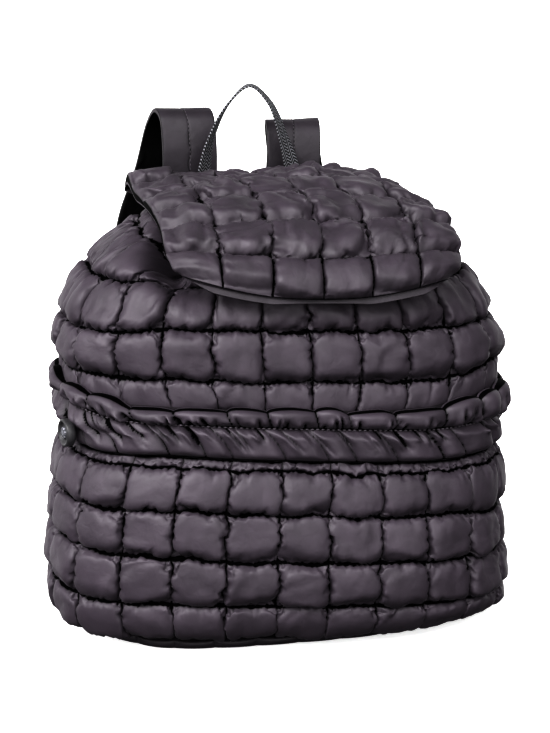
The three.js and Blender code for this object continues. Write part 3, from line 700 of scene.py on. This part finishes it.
class Nodes:
    """A material's nodes, made and linked by short calls."""

    def __init__(self, name):
        self.material = bpy.data.materials.new(name)
        self.material.use_nodes = True
        self.tree = self.material.node_tree
        self.shader = self.tree.nodes["Principled BSDF"]

    def set(self, **values):
        for key, value in values.items():
            self.shader.inputs[key.replace("_", " ")].default_value = value
        return self

    def node(self, kind, settings=None, **inputs):
        made = self.tree.nodes.new(kind)
        for key, value in (settings or {}).items():
            setattr(made, key, value)
        for key, value in inputs.items():
            numbered = key[0] == "n" and key[1:].isdigit()
            target = made.inputs[int(key[1:]) if numbered else key.replace("_", " ")]
            if isinstance(value, bpy.types.NodeSocket):
                self.tree.links.new(value, target)
            else:
                target.default_value = value
        return made

    def link(self, output, name):
        self.tree.links.new(output, self.shader.inputs[name])

    def place(self, kind="UV"):
        return self.node("ShaderNodeTexCoord").outputs[kind]

    def noise(self, place, settings=None, **inputs):
        return self.node("ShaderNodeTexNoise", settings, Vector=place, **inputs).outputs["Fac"]

    def wave(self, way, place, scale):
        settings = {"bands_direction": way}
        return self.node("ShaderNodeTexWave", settings, Vector=place, Scale=scale).outputs["Fac"]

    def math(self, operation, first, second):
        return self.node("ShaderNodeMath", {"operation": operation}, n0=first, n1=second).outputs["Value"]

    def bump(self, settings=None, **inputs):
        return self.node("ShaderNodeBump", settings, **inputs).outputs["Normal"]

    def ramp(self, value, *stops):
        made = self.node("ShaderNodeValToRGB", Fac=value)
        elements = made.color_ramp.elements
        while len(elements) < len(stops):
            elements.new(0.5)
        for element, (place, colour) in zip(elements, stops):
            element.position = place
            element.color = colour
        return made.outputs["Color"]


# Painted shade: the near-black colour that the cloth is turned to where it is marked as shaded
SHADE_BLACK = srgb(10, 9, 10)
SATIN = {"low": 0.46, "high": 0.6}  # roughness of the nylon
THREADS = 520.0  # scale of its weave


def satin_nylon(name, light, dark, crumpled):
    """Tightly woven satin nylon: a fine weave, faint crinkles and uneven dye, with painted shade that turns
    it near black in its folds and seams.
    """
    m = Nodes(name)
    place = m.place()
    dyed = m.ramp(m.noise(place, Scale=38.0, Detail=4.0, Roughness=0.6), (0.3, dark), (0.7, light))
    # Painted shade: the cloth turns near black where the mesh is marked as shaded
    painted_shade = m.node("ShaderNodeAttribute", {"attribute_name": "painted_shade"}).outputs["Fac"]
    colour = m.node("ShaderNodeMix", {"data_type": "RGBA"}, Factor=painted_shade, n6=dyed, n7=SHADE_BLACK).outputs[2]
    m.link(colour, "Base Color")
    gloss = m.noise(place, Scale=90.0, Detail=3.0)
    rough = m.node("ShaderNodeMapRange", Value=gloss, n3=SATIN["low"], n4=SATIN["high"]).outputs["Result"]
    m.link(m.math("MAXIMUM", rough, painted_shade), "Roughness")
    weave = m.math("MULTIPLY", m.wave("X", place, THREADS), m.wave("Y", place, THREADS))
    bump = m.bump(Strength=0.12, Distance=0.0002, Height=weave)
    crinkle = m.noise(place, Scale=120.0, Detail=3.0, Distortion=0.6)
    bump = m.bump(Strength=0.3, Distance=0.0016, Height=crinkle, Normal=bump)
    ridges = m.noise(place, {"noise_type": "RIDGED_MULTIFRACTAL"}, Scale=34.0, Detail=1.5, Distortion=0.8)
    bump = m.bump({"invert": True}, Strength=crumpled, Distance=0.003, Height=ridges, Normal=bump)
    m.link(bump, "Normal")
    m.set(Specular_IOR_Level=0.5, Sheen_Weight=0.07, Sheen_Roughness=0.3, Sheen_Tint=(0.85, 0.78, 0.86, 1))
    return m.material


DYED = 0.75  # the darker places of plain cloth
RUBBED = 1.5  # the lighter places of moulded plastic


def plain_cloth(name, colour, specular=0.4):
    """Smooth cloth of one colour."""
    m = Nodes(name)
    place = m.place()
    darker = [c * DYED for c in colour[:3]] + [1]
    m.link(m.ramp(m.noise(place, Scale=60.0, Detail=3.0), (0.3, darker), (0.7, colour)), "Base Color")
    m.link(m.bump(Strength=0.15, Distance=0.0002, Height=m.wave("DIAGONAL", place, 400.0)), "Normal")
    return m.set(Roughness=0.6, Specular_IOR_Level=specular).material


def herringbone(name, light, dark, width):
    """Webbing woven in a herringbone of light and dark threads."""
    m = Nodes(name)
    place = m.place()
    split = m.node("ShaderNodeSeparateXYZ", Vector=place).outputs
    slant = m.math("ADD", m.math("PINGPONG", split["X"], width * MM / 4), split["Y"])
    turned = m.node("ShaderNodeCombineXYZ", X=slant).outputs["Vector"]
    ribs = m.wave("X", turned, 110.0)
    mixed = m.math("MULTIPLY", ribs, m.noise(place, Scale=900.0, Detail=2.0))
    m.link(m.ramp(mixed, (0.15, dark), (0.55, light)), "Base Color")
    m.link(m.bump(Strength=0.5, Distance=0.0005, Height=ribs), "Normal")
    return m.set(Roughness=0.75).material


def moulded(name, colour):
    """Moulded plastic with a faint grain and rubbed edges."""
    m = Nodes(name)
    place = m.place("Object")
    grain = m.noise(place, Scale=900.0, Detail=2.0)
    wear = m.noise(place, Scale=160.0, Detail=4.0)
    lighter = [min(1, c * RUBBED) for c in colour[:3]] + [1]
    m.link(m.ramp(wear, (0.45, colour), (0.75, lighter)), "Base Color")
    m.link(m.bump(Strength=0.15, Distance=0.0003, Height=grain), "Normal")
    return m.set(Roughness=0.42).material


nylon = satin_nylon("satin_nylon", srgb(78, 71, 79), srgb(66, 60, 67), 0.3)
flap_nylon = satin_nylon("flap_nylon", srgb(74, 67, 75), srgb(62, 57, 63), 0.45)
strap_nylon = satin_nylon("strap_nylon", srgb(60, 55, 61), srgb(51, 47, 52), 0.1)
# Painted shade: a near-black cloth with almost no reflection, put on faces deep in the seams where there is
# only shade
painted_shade_cloth = plain_cloth("painted_shade_cloth", srgb(8, 7, 8), specular=0.02)
# Painted shade: a near-black cloth for a strap's back face, which lies in shade
strap_back_shade = plain_cloth("strap_back_shade", srgb(14, 13, 14), specular=0.1)
thread = plain_cloth("thread", srgb(100, 94, 101))
lining = plain_cloth("lining", srgb(48, 43, 48))
webbing = herringbone("herringbone_webbing", srgb(150, 150, 155), srgb(10, 10, 12), HANDLE_WIDTH)
plain_webbing = herringbone("plain_webbing", srgb(60, 59, 64), srgb(30, 29, 33), WEBBING_WIDTH)
plastic = moulded("moulded_plastic", srgb(60, 59, 61))
pale_cord = herringbone("pale_cord", srgb(150, 150, 156), srgb(70, 70, 75), 6.0)


# Front pocket
wrap_edges = CELL * np.arange(WRAP_COLUMNS + 1)
wrap_width = wrap_edges[-1]


def wrap_share(along, seam, shift):
    """The share of the outline at a place along the wrap, whose columns sit a little to the left."""
    t = 2 * along / wrap_width - 1
    return t * seam - shift * (1 - t * t)


def on_pocket(along, up, out):
    return settle(body_skin.offset(wrap_share(along, body_skin.seam(up) - EDGE, POCKET_SHIFT), up, out))


pocket_grid = quilt(wrap_edges, POCKET_ROWS, seed=4, special={len(POCKET_ROWS["z"]) - 2: STRIP})
panel("pocket", on_pocket, pocket_grid, wrap_edges, POCKET_ROWS["z"], ["front_pocket"])


# Main sack
TUBE_LINES = {"below": 12, "above": 49, "round": 192}  # lines of its plain tube's mesh


def at_sack(share, up, out):
    above = up - SACK_HOLLOW["z"]
    across = (share - SACK_HOLLOW["share"] - SACK_HOLLOW["slant"] * above) / SACK_HOLLOW["wide"]
    pressed = SACK_HOLLOW["by"] * np.exp(-across ** 2 - (above / SACK_HOLLOW["tall"]) ** 2)
    return settle(sack_skin.offset(share, up, out - pressed))


def on_sack(along, up, out):
    return at_sack(wrap_share(along, sack_skin.seam(up), SACK_SHIFT), up, out)


def sack():
    """The quilted upper rows, sewn on a plain tube that goes down behind the pocket."""
    shape = Shape().quilted(on_sack, quilt(wrap_edges, SACK_ROWS, seed=9))
    hem, mouth = SACK_ROWS["z"][[0, -1]]
    below = np.linspace(SACK_FOOT, hem, TUBE_LINES["below"])
    above = np.linspace(hem, mouth, TUBE_LINES["above"])
    round_it = np.linspace(-1, 1, TUBE_LINES["round"] + 1)
    s, z = np.meshgrid(round_it[:-1], np.concatenate([below, above[1:]]))
    spots = np.stack([s * wrap_width / 2, z], -1)
    outer, inner = (at_sack(s, z, off) for off in (SEAM_SINK, -WALL))
    shape.grid(outer, spots, ring=True).grid(inner, spots, look=1, ring=True, flip=True)
    for row, flip in ((0, True), (-1, False)):
        shape.grid(np.stack([outer[row], inner[row]]), np.stack([spots[row]] * 2), ring=True, flip=flip)
    piece = shape.build("sack", [nylon, lining, painted_shade_cloth], "cloth")
    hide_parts("main_sack")


sack()

# Back panel
back_edges = CELL * np.arange(BACK_COLUMNS + 1)


def on_back(along, up, out):
    seam = body_skin.seam(up) + EDGE
    share = seam + (2 - 2 * seam) * along / back_edges[-1]
    return settle(body_skin.offset(share, up, out))


back_grid = quilt(back_edges, BACK_ROWS, seed=12, grow=1.16, step=3.0, gain=1, uneven=0.6, hang=0.1)
panel("back", on_back, back_grid, back_edges, BACK_ROWS["z"], ["back_panel"])


# Gathered casing of the pocket: a band of slanted folds, a sewn line, and a puffy header above it
CASING_LINES = {"square": 44, "band": 27, "header": 23}  # lines of its mesh
CASING_GROOVE = (7.0, 1.5)  # radius and roundness of the cloth along the sewn line
CASING_ROUND = (6.5, 5.0)  # radius of the band's and the header's outer edge
CASING_SLANT = 0.75  # how far a pleat runs to the right as it goes down
CASING_CURVE = 2.5  # and how far it bows
CASING_LEAN = 0.25  # how far a puff of the header leans
CASING_PLEATS = {"spacing": (18, 44), "crest": (0.4, 0.8), "least": 0.3}
CASING_PUFFS = {"spacing": (26, 44), "crest": (0.35, 0.65), "least": 0.4}
CASING_UNEVEN = {"by": 0.08, "steps": 14}
CASING_FOLDS = {"count": 46, "deep": (2.0, 5.5), "slant": (0.9, 1.7), "reach": (9, 24), "width": (1.0, 2.2)}
CASING_MORE = {"count": 14, "from": 0.16, "to": 0.36}  # more folds at the front's left
CASING_RUFFLE = {"count": 110, "deep": (2, 7), "slant": (-0.6, 0.3), "reach": (5, 11), "width": (0.8, 2.0)}
CASING_CUT = 0.7  # power of the padding by which folds cut into it
CASING_DEEPEST = -0.5
CASING_TOP = {"by": 3.6, "mean": 0.6, "wave": 0.8, "steps": 26}  # how far the header's puffs rise at its top
# Painted shade in the casing: where it starts and is full in its sewn groove, at its edges, between its
# pleats and in its folds
CASING_PAINTED_SHADE = {"groove": (0.2, 0.9), "edge": (0.2, 1.0), "pleat": (0.05, 0.4), "fold": (1.6, 4.0)}
CASING_STITCH = 3.4  # how far the stitches stand out of the sewn line
CASING_STITCHES = {"length": 2.6, "gap": 1.6, "radius": 0.7}
# A fold's bow, where it starts to fade, and the height, distance and width of the crest beside it
SLANTED = {"bow": 0.85, "fade": 0.55, "crest": 0.45, "beside": 2.4, "wide": 1.6}
PLEAT_FAR = 1.6  # roundness of a pleat's far side


def on_casing(along, up, out):
    share = (2 * along / wrap_width - 1) * (body_skin.seam(up) - EDGE)
    base = np.interp(up, CASING_ROWS["z"], CASING_ROWS["base"])
    x = body_skin.point(share, up)[..., 0]
    raised = np.zeros(np.shape(x))
    for end, way in ((CASING_LEFT, -1), (CASING_RIGHT, 1)):
        rise = np.interp(up, CASING_ROWS["z"], (0, end["sewn"], end["top"]))
        raised += rise * smoothstep(way * x, end["from"], end["to"])
    return settle(body_skin.offset(share, up + raised, out + base))


def slanted_folds(rng, along, down, tops, folds):
    """Depth of folds that start on the sewn line at tops and run on sideways as they go away from it."""
    sizes = [rng.uniform(*folds[key], len(tops)) for key in ("deep", "slant", "reach", "width")]
    out = np.zeros(along.shape)
    for top, deep, slant, reach, width in zip(tops, *sizes):
        away = along - top - slant * down ** SLANTED["bow"]
        fade = 1 - smoothstep(down, SLANTED["fade"] * reach, reach)
        valley = np.exp(-np.abs(away) / width)
        beside = (away + SLANTED["beside"] * width) / (SLANTED["wide"] * width)
        out += deep * fade * (valley - SLANTED["crest"] * np.exp(-beside ** 2))
    return out


def pleats(along, edges, skew):
    """Height of folds that lie between edges along a line, from 0 at their edges to 1 at their crests."""
    found = np.searchsorted(edges, along.ravel(), side="right") - 1
    k = np.clip(found, 0, len(edges) - 2).reshape(along.shape)
    t = np.clip((along - edges[k]) / (edges[k + 1] - edges[k]), 0, 1)
    crest = skew[k]
    return np.where(t < crest, shoulder(t, crest), shoulder(1 - t, 1 - crest, PLEAT_FAR))


def spaced(rng, low, high, nearest, farthest):
    """Uneven places from low to high."""
    steps = np.cumsum(rng.uniform(nearest, farthest, int((high - low) / nearest) + 2))
    return np.concatenate([[low - farthest], low + steps[steps < high - low], [high + farthest]])


def casing():
    rng = np.random.default_rng(21)
    low, sewn, high = CASING_ROWS["z"]
    puff = CASING_ROWS["puff"]
    x = np.linspace(0, wrap_width, WRAP_COLUMNS * CASING_LINES["square"] + 1)
    band, header = (
        start + (end - start) * (1 - np.cos(np.linspace(0, np.pi, CASING_LINES[name]))) / 2
        for name, start, end in (("band", low, sewn), ("header", sewn, high))
    )
    along, up = np.meshgrid(x, np.concatenate([band[:-1], header]))
    is_band = up < sewn
    down = np.where(is_band, sewn - up, up - sewn)
    height = np.where(is_band, sewn - low, high - sewn)
    pad = shoulder(down, *CASING_GROOVE) * shoulder(height - down, np.where(is_band, *CASING_ROUND))
    slanted = along - CASING_SLANT * down - CASING_CURVE * np.sin(np.pi * down / height)
    kinds = (CASING_PLEATS, CASING_PUFFS)
    edges = [spaced(rng, 0, wrap_width, *kind["spacing"]) for kind in kinds]
    skews = [rng.uniform(*kind["crest"], len(places)) for kind, places in zip(kinds, edges)]
    folded = pleats(slanted, edges[0], skews[0])
    puffed = pleats(along + CASING_LEAN * down, edges[1], skews[1])
    shaped = np.where(is_band, folded, puffed)
    least = np.where(is_band, CASING_PLEATS["least"], CASING_PUFFS["least"])
    out = pad * (least + (1 - least) * shaped) * np.where(is_band, puff[0], puff[1])
    out *= 1 + CASING_UNEVEN["by"] * smooth_noise(rng, along.shape, CASING_UNEVEN["steps"])
    tops = np.concatenate([
        rng.uniform(0, wrap_width, CASING_FOLDS["count"]),
        rng.uniform(CASING_MORE["from"], CASING_MORE["to"], CASING_MORE["count"]) * wrap_width,
    ])
    folds = slanted_folds(rng, along, down, tops, CASING_FOLDS)
    gathered = np.sort(rng.uniform(0, wrap_width, CASING_RUFFLE["count"]))
    cuts = np.where(is_band, folds, slanted_folds(rng, along, down, gathered, CASING_RUFFLE))
    out -= pad ** CASING_CUT * cuts
    wave = smooth_noise(rng, (1, len(x)), CASING_TOP["steps"])
    rise = CASING_TOP["by"] * (puffed - CASING_TOP["mean"]) + CASING_TOP["wave"] * wave
    up = up + np.where(is_band, 0, smoothstep(up, sewn, high) * rise)
    # Painted shade: darkened in the sewn groove, at the outer edges, between the pleats and in the folds
    painted_shade = np.max([
        1 - smoothstep(down, *CASING_PAINTED_SHADE["groove"]),
        1 - smoothstep(height - down, *CASING_PAINTED_SHADE["edge"]),
        1 - smoothstep(shaped, *CASING_PAINTED_SHADE["pleat"]),
        smoothstep(cuts, *CASING_PAINTED_SHADE["fold"]),
    ], axis=0)
    grid = np.stack([along, up, np.maximum(out, CASING_DEEPEST), painted_shade], -1)
    shape = Shape()
    level = np.full(len(x), sewn)
    sewing = [on_casing(x, level, SEAM_SINK + CASING_STITCH + k) for k in (0, 1)]
    stitches(shape, sewing[0], sewing[1] - sewing[0], 3, **CASING_STITCHES)
    panel("casing", on_casing, grid, wrap_edges, CASING_ROWS["z"], ["pocket_casing"],
          shape=shape)


casing()


# Base: a flat padded oval whose quilted edge shows under the pocket
def base():
    shares = np.linspace(-1, 1, BASE_STEPS + 1)[:-1]
    level = np.full(shares.shape, BODY["z"][0])
    cells = np.abs(np.sin(np.pi * shares * BASE_CELLS / 2)) ** BASE_ROUND
    ring = body_skin.point(shares, level)
    tucked = BASE_CORNER["by"] * smoothstep(np.abs(ring[:, 0]), BASE_CORNER["from"], BASE_CORNER["to"])
    rings = []
    for z, inset, scallop in zip(BASE_RINGS["z"], BASE_RINGS["inset"], BASE_RINGS["scallop"]):
        ring = body_skin.offset(shares, level, -(inset + tucked + scallop * (1 - cells)))
        ring[:, 2] = z
        rings.append(ring)
    for inward in BASE_INWARD:
        ends = [rings[0].copy(), rings[-1].copy()]
        for ring in ends:
            ring[:, :2] *= inward
        rings = [ends[0], *rings, ends[1]]
    points = np.array(rings)
    shape = Shape().grid(points, points[..., :2], ring=True, painted_shade=BASE_PAINTED_SHADE)
    piece = shape.build("base", [nylon], "cloth")
    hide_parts("base_panel")


base()

# Flap
flap_line = Line([(0, y, z) for y, z in FLAP_LINE])


def flap_point(across, along):
    corner = smoothstep(along, FLAP_CORNER["from"], 1)
    given = FLAP_CORNER["by"] * np.abs(across) ** FLAP_CORNER["power"] * corner
    t = np.minimum(along * (1 - given), 1)
    p = flap_line.at(t) + flap_line.tangent(t) * (np.maximum(along - 1, 0) * flap_line.length)[..., None]
    spread = smoothstep(along, 0, FLAP_SPREAD)
    half = FLAP_REAR_HALF + (FLAP_FRONT_HALF - FLAP_REAR_HALF) * spread
    rounded = FLAP_ROUND["by"] * smoothstep(along, FLAP_ROUND["from"], 1) ** 2
    half = half * (1 - rounded * np.abs(across) ** FLAP_ROUND["power"])
    shift = FLAP_REAR_SHIFT + (FLAP_FRONT_SHIFT - FLAP_REAR_SHIFT) * spread
    droop = np.where(across < 0, FLAP_DROOP["left"], FLAP_DROOP["right"])
    droop = droop * np.abs(across) ** FLAP_DROOP["power"] * smoothstep(along, 0, FLAP_DROOP["full"])
    x = across * half + shift
    sunk = smoothstep(along, 0, FLAP_DIP["from"]) - smoothstep(along, FLAP_DIP["from"], FLAP_DIP["to"])
    dip = FLAP_DIP["by"] * np.exp(-((x - FLAP_DIP["x"]) / FLAP_DIP["width"]) ** 2) * sunk
    return np.stack([x, p[..., 1], p[..., 2] - droop - dip], -1)


def flap_offset(across, along, distance):
    wide = flap_point(across + FLAP_STEP, along) - flap_point(across - FLAP_STEP, along)
    near = np.clip(along, FLAP_STEP, 1 - FLAP_STEP)
    back = flap_point(across, near - FLAP_STEP) - flap_point(across, near + FLAP_STEP)
    return flap_point(across, along) + unit(np.cross(wide, back)) * np.asarray(distance)[..., None]


flap_edges = CELL * np.arange(FLAP_COLUMNS + 1)
flap_rows = table("z puff folds", [
    (flap_line.length * (1 - share), FLAP_PUFF, FLAP_LIP_FOLDS if share == 1 else 1)
    for share in reversed(FLAP_ROWS)
])


def on_flap(along, up, out):
    across = 2 * along / flap_edges[-1] - 1
    return settle(flap_offset(across, 1 - up / flap_line.length, out + WALL / 2))


flap_grid = quilt(flap_edges, flap_rows, seed=31, grow=1.45, step=1.7, edges=CRUMPLED, special={0: LIP},
                  gain=1.1, uneven=1.2, hang=0.1, folds=FLAP_FOLDS, cloth_share=0.7, bound=True)
panel("flap_quilt", on_flap, flap_grid, flap_edges, flap_rows["z"], ["flap"],
      cover=flap_nylon)


def facing():
    across, along = FACING_STEPS
    a, b = np.meshgrid(np.linspace(-FACING_SIDE, FACING_SIDE, across), np.linspace(1, 0, along))
    lip = FACING_LIP + (FACING_CORNER - FACING_LIP) * smoothstep(np.abs(a), FACING_TURN, FACING_SIDE)
    b = FACING_REAR + (lip - FACING_REAR) * b
    spots = np.stack([a * FLAP_FRONT_HALF, -b * flap_line.length], -1)
    top, under = (settle(flap_offset(a, b, FACING_TOP - deep)) for deep in (0, FACING))
    shape = Shape().grid(top, spots, painted_shade=FACING_PAINTED_SHADE).grid(under, spots, flip=True, painted_shade=FACING_PAINTED_SHADE)
    rim = np.stack([border(under), border(top)])
    shape.grid(rim, np.stack([border(spots)] * 2), ring=True, painted_shade=FACING_PAINTED_SHADE)
    piece = shape.build("facing", [nylon], "cloth")
    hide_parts("flap_facing")


facing()


# Straps
def band_place(line, width, across_at):
    """Places along and across a band, off one of its faces."""
    def place(across, share, off):
        tangent = line.tangent(share)
        wide = across_at(share)
        wide = unit(wide - tangent * np.sum(wide * tangent, -1, keepdims=True))
        face = np.cross(wide, tangent)
        return settle(line.at(share) + wide * (across * width)[..., None] + face * np.asarray(off)[..., None])
    return place


def one_way(*way):
    """The way across a band that doesn't turn along its length."""
    return lambda share: np.broadcast_to(np.array(way, float), (*np.shape(share), 3))


def strap(name, sign, seed):
    points = np.array(STRAP_LINE, float) * [sign, 1, 1]
    z = points[:, 2].copy()
    points[:, 0] += STRAP_SHIFT["by"] * smoothstep(z, STRAP_SHIFT["from"], STRAP_SHIFT["to"])
    points[:, 2] += STRAP_RISE[name] * smoothstep(z, STRAP_RISE["from"], STRAP_RISE["to"])
    line = Line(points)
    place = band_place(line, STRAP_WIDTH, one_way(1, 0, 0))
    rows = table("z puff", [(0, STRAP_PUFF), (line.length, 0)])
    edges = STRAP_WIDTH * np.array([0, 0.5, 1])
    shape = Shape()
    rims = []
    for side in (1, -1):
        grid = quilt(edges, rows, seed + side, grow=1.04, step=2.8, edges=FIRM, gain=0.8, fullest=0.5, top=1,
                     uneven=0.3, hang=0)
        across, share = grid[..., 0] / STRAP_WIDTH - 0.5, grid[..., 1] / line.length
        points = place(across, share, side * (STRAP_EDGE + grid[..., 2]))
        # Painted shade: the strap's back face gets the near-black look 2
        look = 0 if side > 0 else 2
        shape.grid(points, grid[..., :2], look, flip=side < 0, painted_shade=grid[..., 3], seam=1)
        rims.append((border(points), border(grid[..., :2])))
    shape.grid(np.stack([rims[1][0], rims[0][0]]), np.stack([rims[1][1], rims[0][1]]), ring=True)
    share = np.linspace(0, 1, STRAP_SAMPLES)
    sewing = [place(np.zeros(STRAP_SAMPLES), share, STRAP_EDGE + STRAP_STITCH + k) for k in (0, 1)]
    stitches(shape, sewing[0], sewing[1] - sewing[0], 3)
    piece = shape.build("strap_" + name, [strap_nylon, painted_shade_cloth, strap_back_shade, thread], "cloth")
    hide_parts("shoulder_strap_" + name)


BAND = {"round": 32, "across": 0.3, "through": 0.6}  # points round a band, and powers that make its edge


def flat_band(name, points, width, thickness, across_at, material, replaced, steps):
    line = Line(points)
    place = band_place(line, width, across_at)
    turn = round_turn(BAND["round"])
    bow = signed_power(np.cos(turn), BAND["across"]) * 0.5
    deep = signed_power(np.sin(turn), BAND["through"]) * thickness / 2
    across, share = np.meshgrid(bow, np.linspace(0, 1, steps))
    off = np.broadcast_to(deep, across.shape)
    points = place(across, share, off)
    spots = np.stack([across * width, share * line.length], -1)
    piece = Shape().grid(points, spots, ring=True, flip=True).build(name, [material], "webbing")
    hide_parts(replaced)
    return piece


def handle_across(share):
    turn = np.radians(np.interp(share, np.linspace(0, 1, len(HANDLE_TURN)), HANDLE_TURN))
    return np.stack([np.cos(turn), np.sin(turn), np.zeros_like(turn)], -1)


flat_band("handle", HANDLE_LINE, HANDLE_WIDTH, HANDLE_THICKNESS, handle_across, webbing, "carry_handle",
          HANDLE_STEPS)
for side_name, sign in (("left", -1), ("right", 1)):
    strap(side_name, sign, 40 + sign)
    line_points = np.array(WEBBING_LINE) * [sign, 1, 1]
    tilted = one_way(1, -sign * WEBBING_TILT, 0)
    flat_band("webbing_" + side_name, line_points, WEBBING_WIDTH, WEBBING_THICKNESS, tilted, plain_webbing,
              "strap_webbing_" + side_name, WEBBING_STEPS)
    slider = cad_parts["strap_slider_" + side_name]
    slider.data.materials.clear()
    slider.data.materials.append(plastic)


# Cord toggle
TOGGLE_HUB = 10  # from this point of its profile on, the cord's end shows
TOGGLE_ROUND = 48


def toggle():
    share, z = np.array([TOGGLE["share"]]), np.array([float(TOGGLE["z"])])
    centre = settle(body_skin.offset(share, z, np.array([TOGGLE["out"]])))[0]
    face = body_skin.outward(share, z)[0]
    face = math.atan2(face[1], face[0]) + math.radians(TOGGLE["turn"])
    face = np.array([math.cos(face), math.sin(face), 0])
    up = np.array([0, 0, 1.0])
    wide = unit(np.cross(up, face))
    radius, depth, recess, rim = (TOGGLE[k] for k in ("radius", "depth", "recess", "rim"))
    profile = np.array([
        (0.01, 0), (radius * 0.72, 0), (radius * 0.9, 0.8), (radius, depth * 0.35), (radius, depth * 0.78),
        (radius - 0.4, depth * 0.93), (radius - rim / 2, depth), (radius - rim + 0.3, depth - 0.2),
        (radius - rim * 1.15, depth - recess * 0.6), (radius - rim * 1.6, depth - recess),
        (radius * 0.42, depth - recess), (radius * 0.4, depth - 0.6), (radius * 0.34, depth - 0.1),
        (0.01, depth),
    ])
    turn = round_turn(TOGGLE_ROUND)
    t, r = np.meshgrid(turn, profile[:, 0])
    h = np.broadcast_to(profile[:, 1:2], t.shape)
    points = centre + (np.cos(t) * r)[..., None] * wide + (np.sin(t) * r)[..., None] * up
    points = points + h[..., None] * face
    shape = Shape().grid(points, np.stack([t * 4, h + r], -1), ring=True)
    piece = shape.build("toggle", [plastic, pale_cord], "plastic")
    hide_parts("cord_toggle")
    looks = np.zeros(len(piece.data.polygons), int)
    looks[len(turn) * TOGGLE_HUB:] = 1
    piece.data.polygons.foreach_set("material_index", looks)


toggle()


# Stage, light and camera
FLOOR_SIZE = 12.0
FLOOR_LEVEL = -0.0005
FLOOR_GLOW = 0.7  # a floor lit from below, so that shadows on it are faint
FLOOR_PALE = ((0.93, 0.93, 0.93, 1), (0.95, 0.95, 0.95, 1))
WHITE = (1, 1, 1, 1)
AMBIENT = 0.08
# Each light's azimuth right of the bag's front, its elevation, strength and spread
LIGHTS = {
    "key": (-36, 42, 3.8, 28),
    "left": (-75, 28, 3.8, 50),
    "fill": (28, 36, 2.2, 60),
    "front": (0, 4, 2.3, 80),
    "rear_left": (-145, 6, 1.8, 70),
    "rear_right": (145, 6, 1.8, 70),
}
LIGHT_DISTANCE = 2.0


def floor():
    mesh = bpy.data.meshes.new("floor")
    size = FLOOR_SIZE
    corners = [(-size, -size, 0), (size, -size, 0), (size, size, 0), (-size, size, 0)]
    mesh.from_pydata(corners, [], [(0, 1, 2, 3)])
    m = Nodes("pale_floor")
    cloudy = m.noise(m.place("Object"), Scale=2.0)
    m.link(m.ramp(cloudy, (0.3, FLOOR_PALE[0]), (0.7, FLOOR_PALE[1])), "Base Color")
    m.set(Roughness=0.9, Emission_Color=WHITE, Emission_Strength=FLOOR_GLOW)
    mesh.materials.append(m.material)
    made = bpy.data.objects.new("floor", mesh)
    made.location.z = FLOOR_LEVEL
    made.visible_diffuse = made.visible_glossy = False  # it throws no light back on the bag
    bpy.context.scene.collection.objects.link(made)


def ahead_of(azimuth, elevation):
    """The way that a light or camera looks, from an azimuth right of the bag's front and an elevation."""
    a, e = math.radians(azimuth), math.radians(elevation)
    return np.array([-math.sin(a) * math.cos(e), math.cos(a) * math.cos(e), -math.sin(e)])


def soft_light(name, azimuth, elevation, strength, spread):
    light = bpy.data.lights.new(name, "SUN")
    light.energy = strength
    light.angle = math.radians(spread)
    made = bpy.data.objects.new(name, light)
    way = ahead_of(azimuth, elevation)
    made.location = -LIGHT_DISTANCE * way
    made.rotation_euler = direction(way)
    bpy.context.scene.collection.objects.link(made)


def direction(way):
    """Turns for a light or camera that looks along way."""
    flat = math.hypot(way[0], way[1])
    return (math.atan2(flat, -way[2]), 0, math.atan2(way[1], way[0]) - math.pi / 2)


floor()
world = bpy.data.worlds.new("studio")
bpy.context.scene.world = world
world.use_nodes = True
background = world.node_tree.nodes["Background"].inputs
background["Color"].default_value = WHITE
background["Strength"].default_value = AMBIENT
for light_name, light_values in LIGHTS.items():
    soft_light(light_name, *light_values)

AZIMUTH = -12.5
ELEVATION = 15.0
DISTANCE = 1.93
AIM = (-0.0016, 0, 0.206)
FOCAL = 2412 / 733  # as a share of the picture's height
SENSOR = 24.0
CONTRAST = 0.6  # a photograph's deeper shadows
camera = bpy.data.cameras.new("camera")
camera.sensor_fit = "VERTICAL"
camera.sensor_height = SENSOR
camera.lens = FOCAL * SENSOR
view = bpy.data.objects.new("camera", camera)
ahead = ahead_of(AZIMUTH, ELEVATION)
view.location = np.array(AIM) - ahead * DISTANCE
view.rotation_euler = direction(ahead)
bpy.context.scene.collection.objects.link(view)
bpy.context.scene.camera = view
bpy.context.scene.view_settings.view_transform = "Standard"
bpy.context.scene.view_settings.gamma = CONTRAST
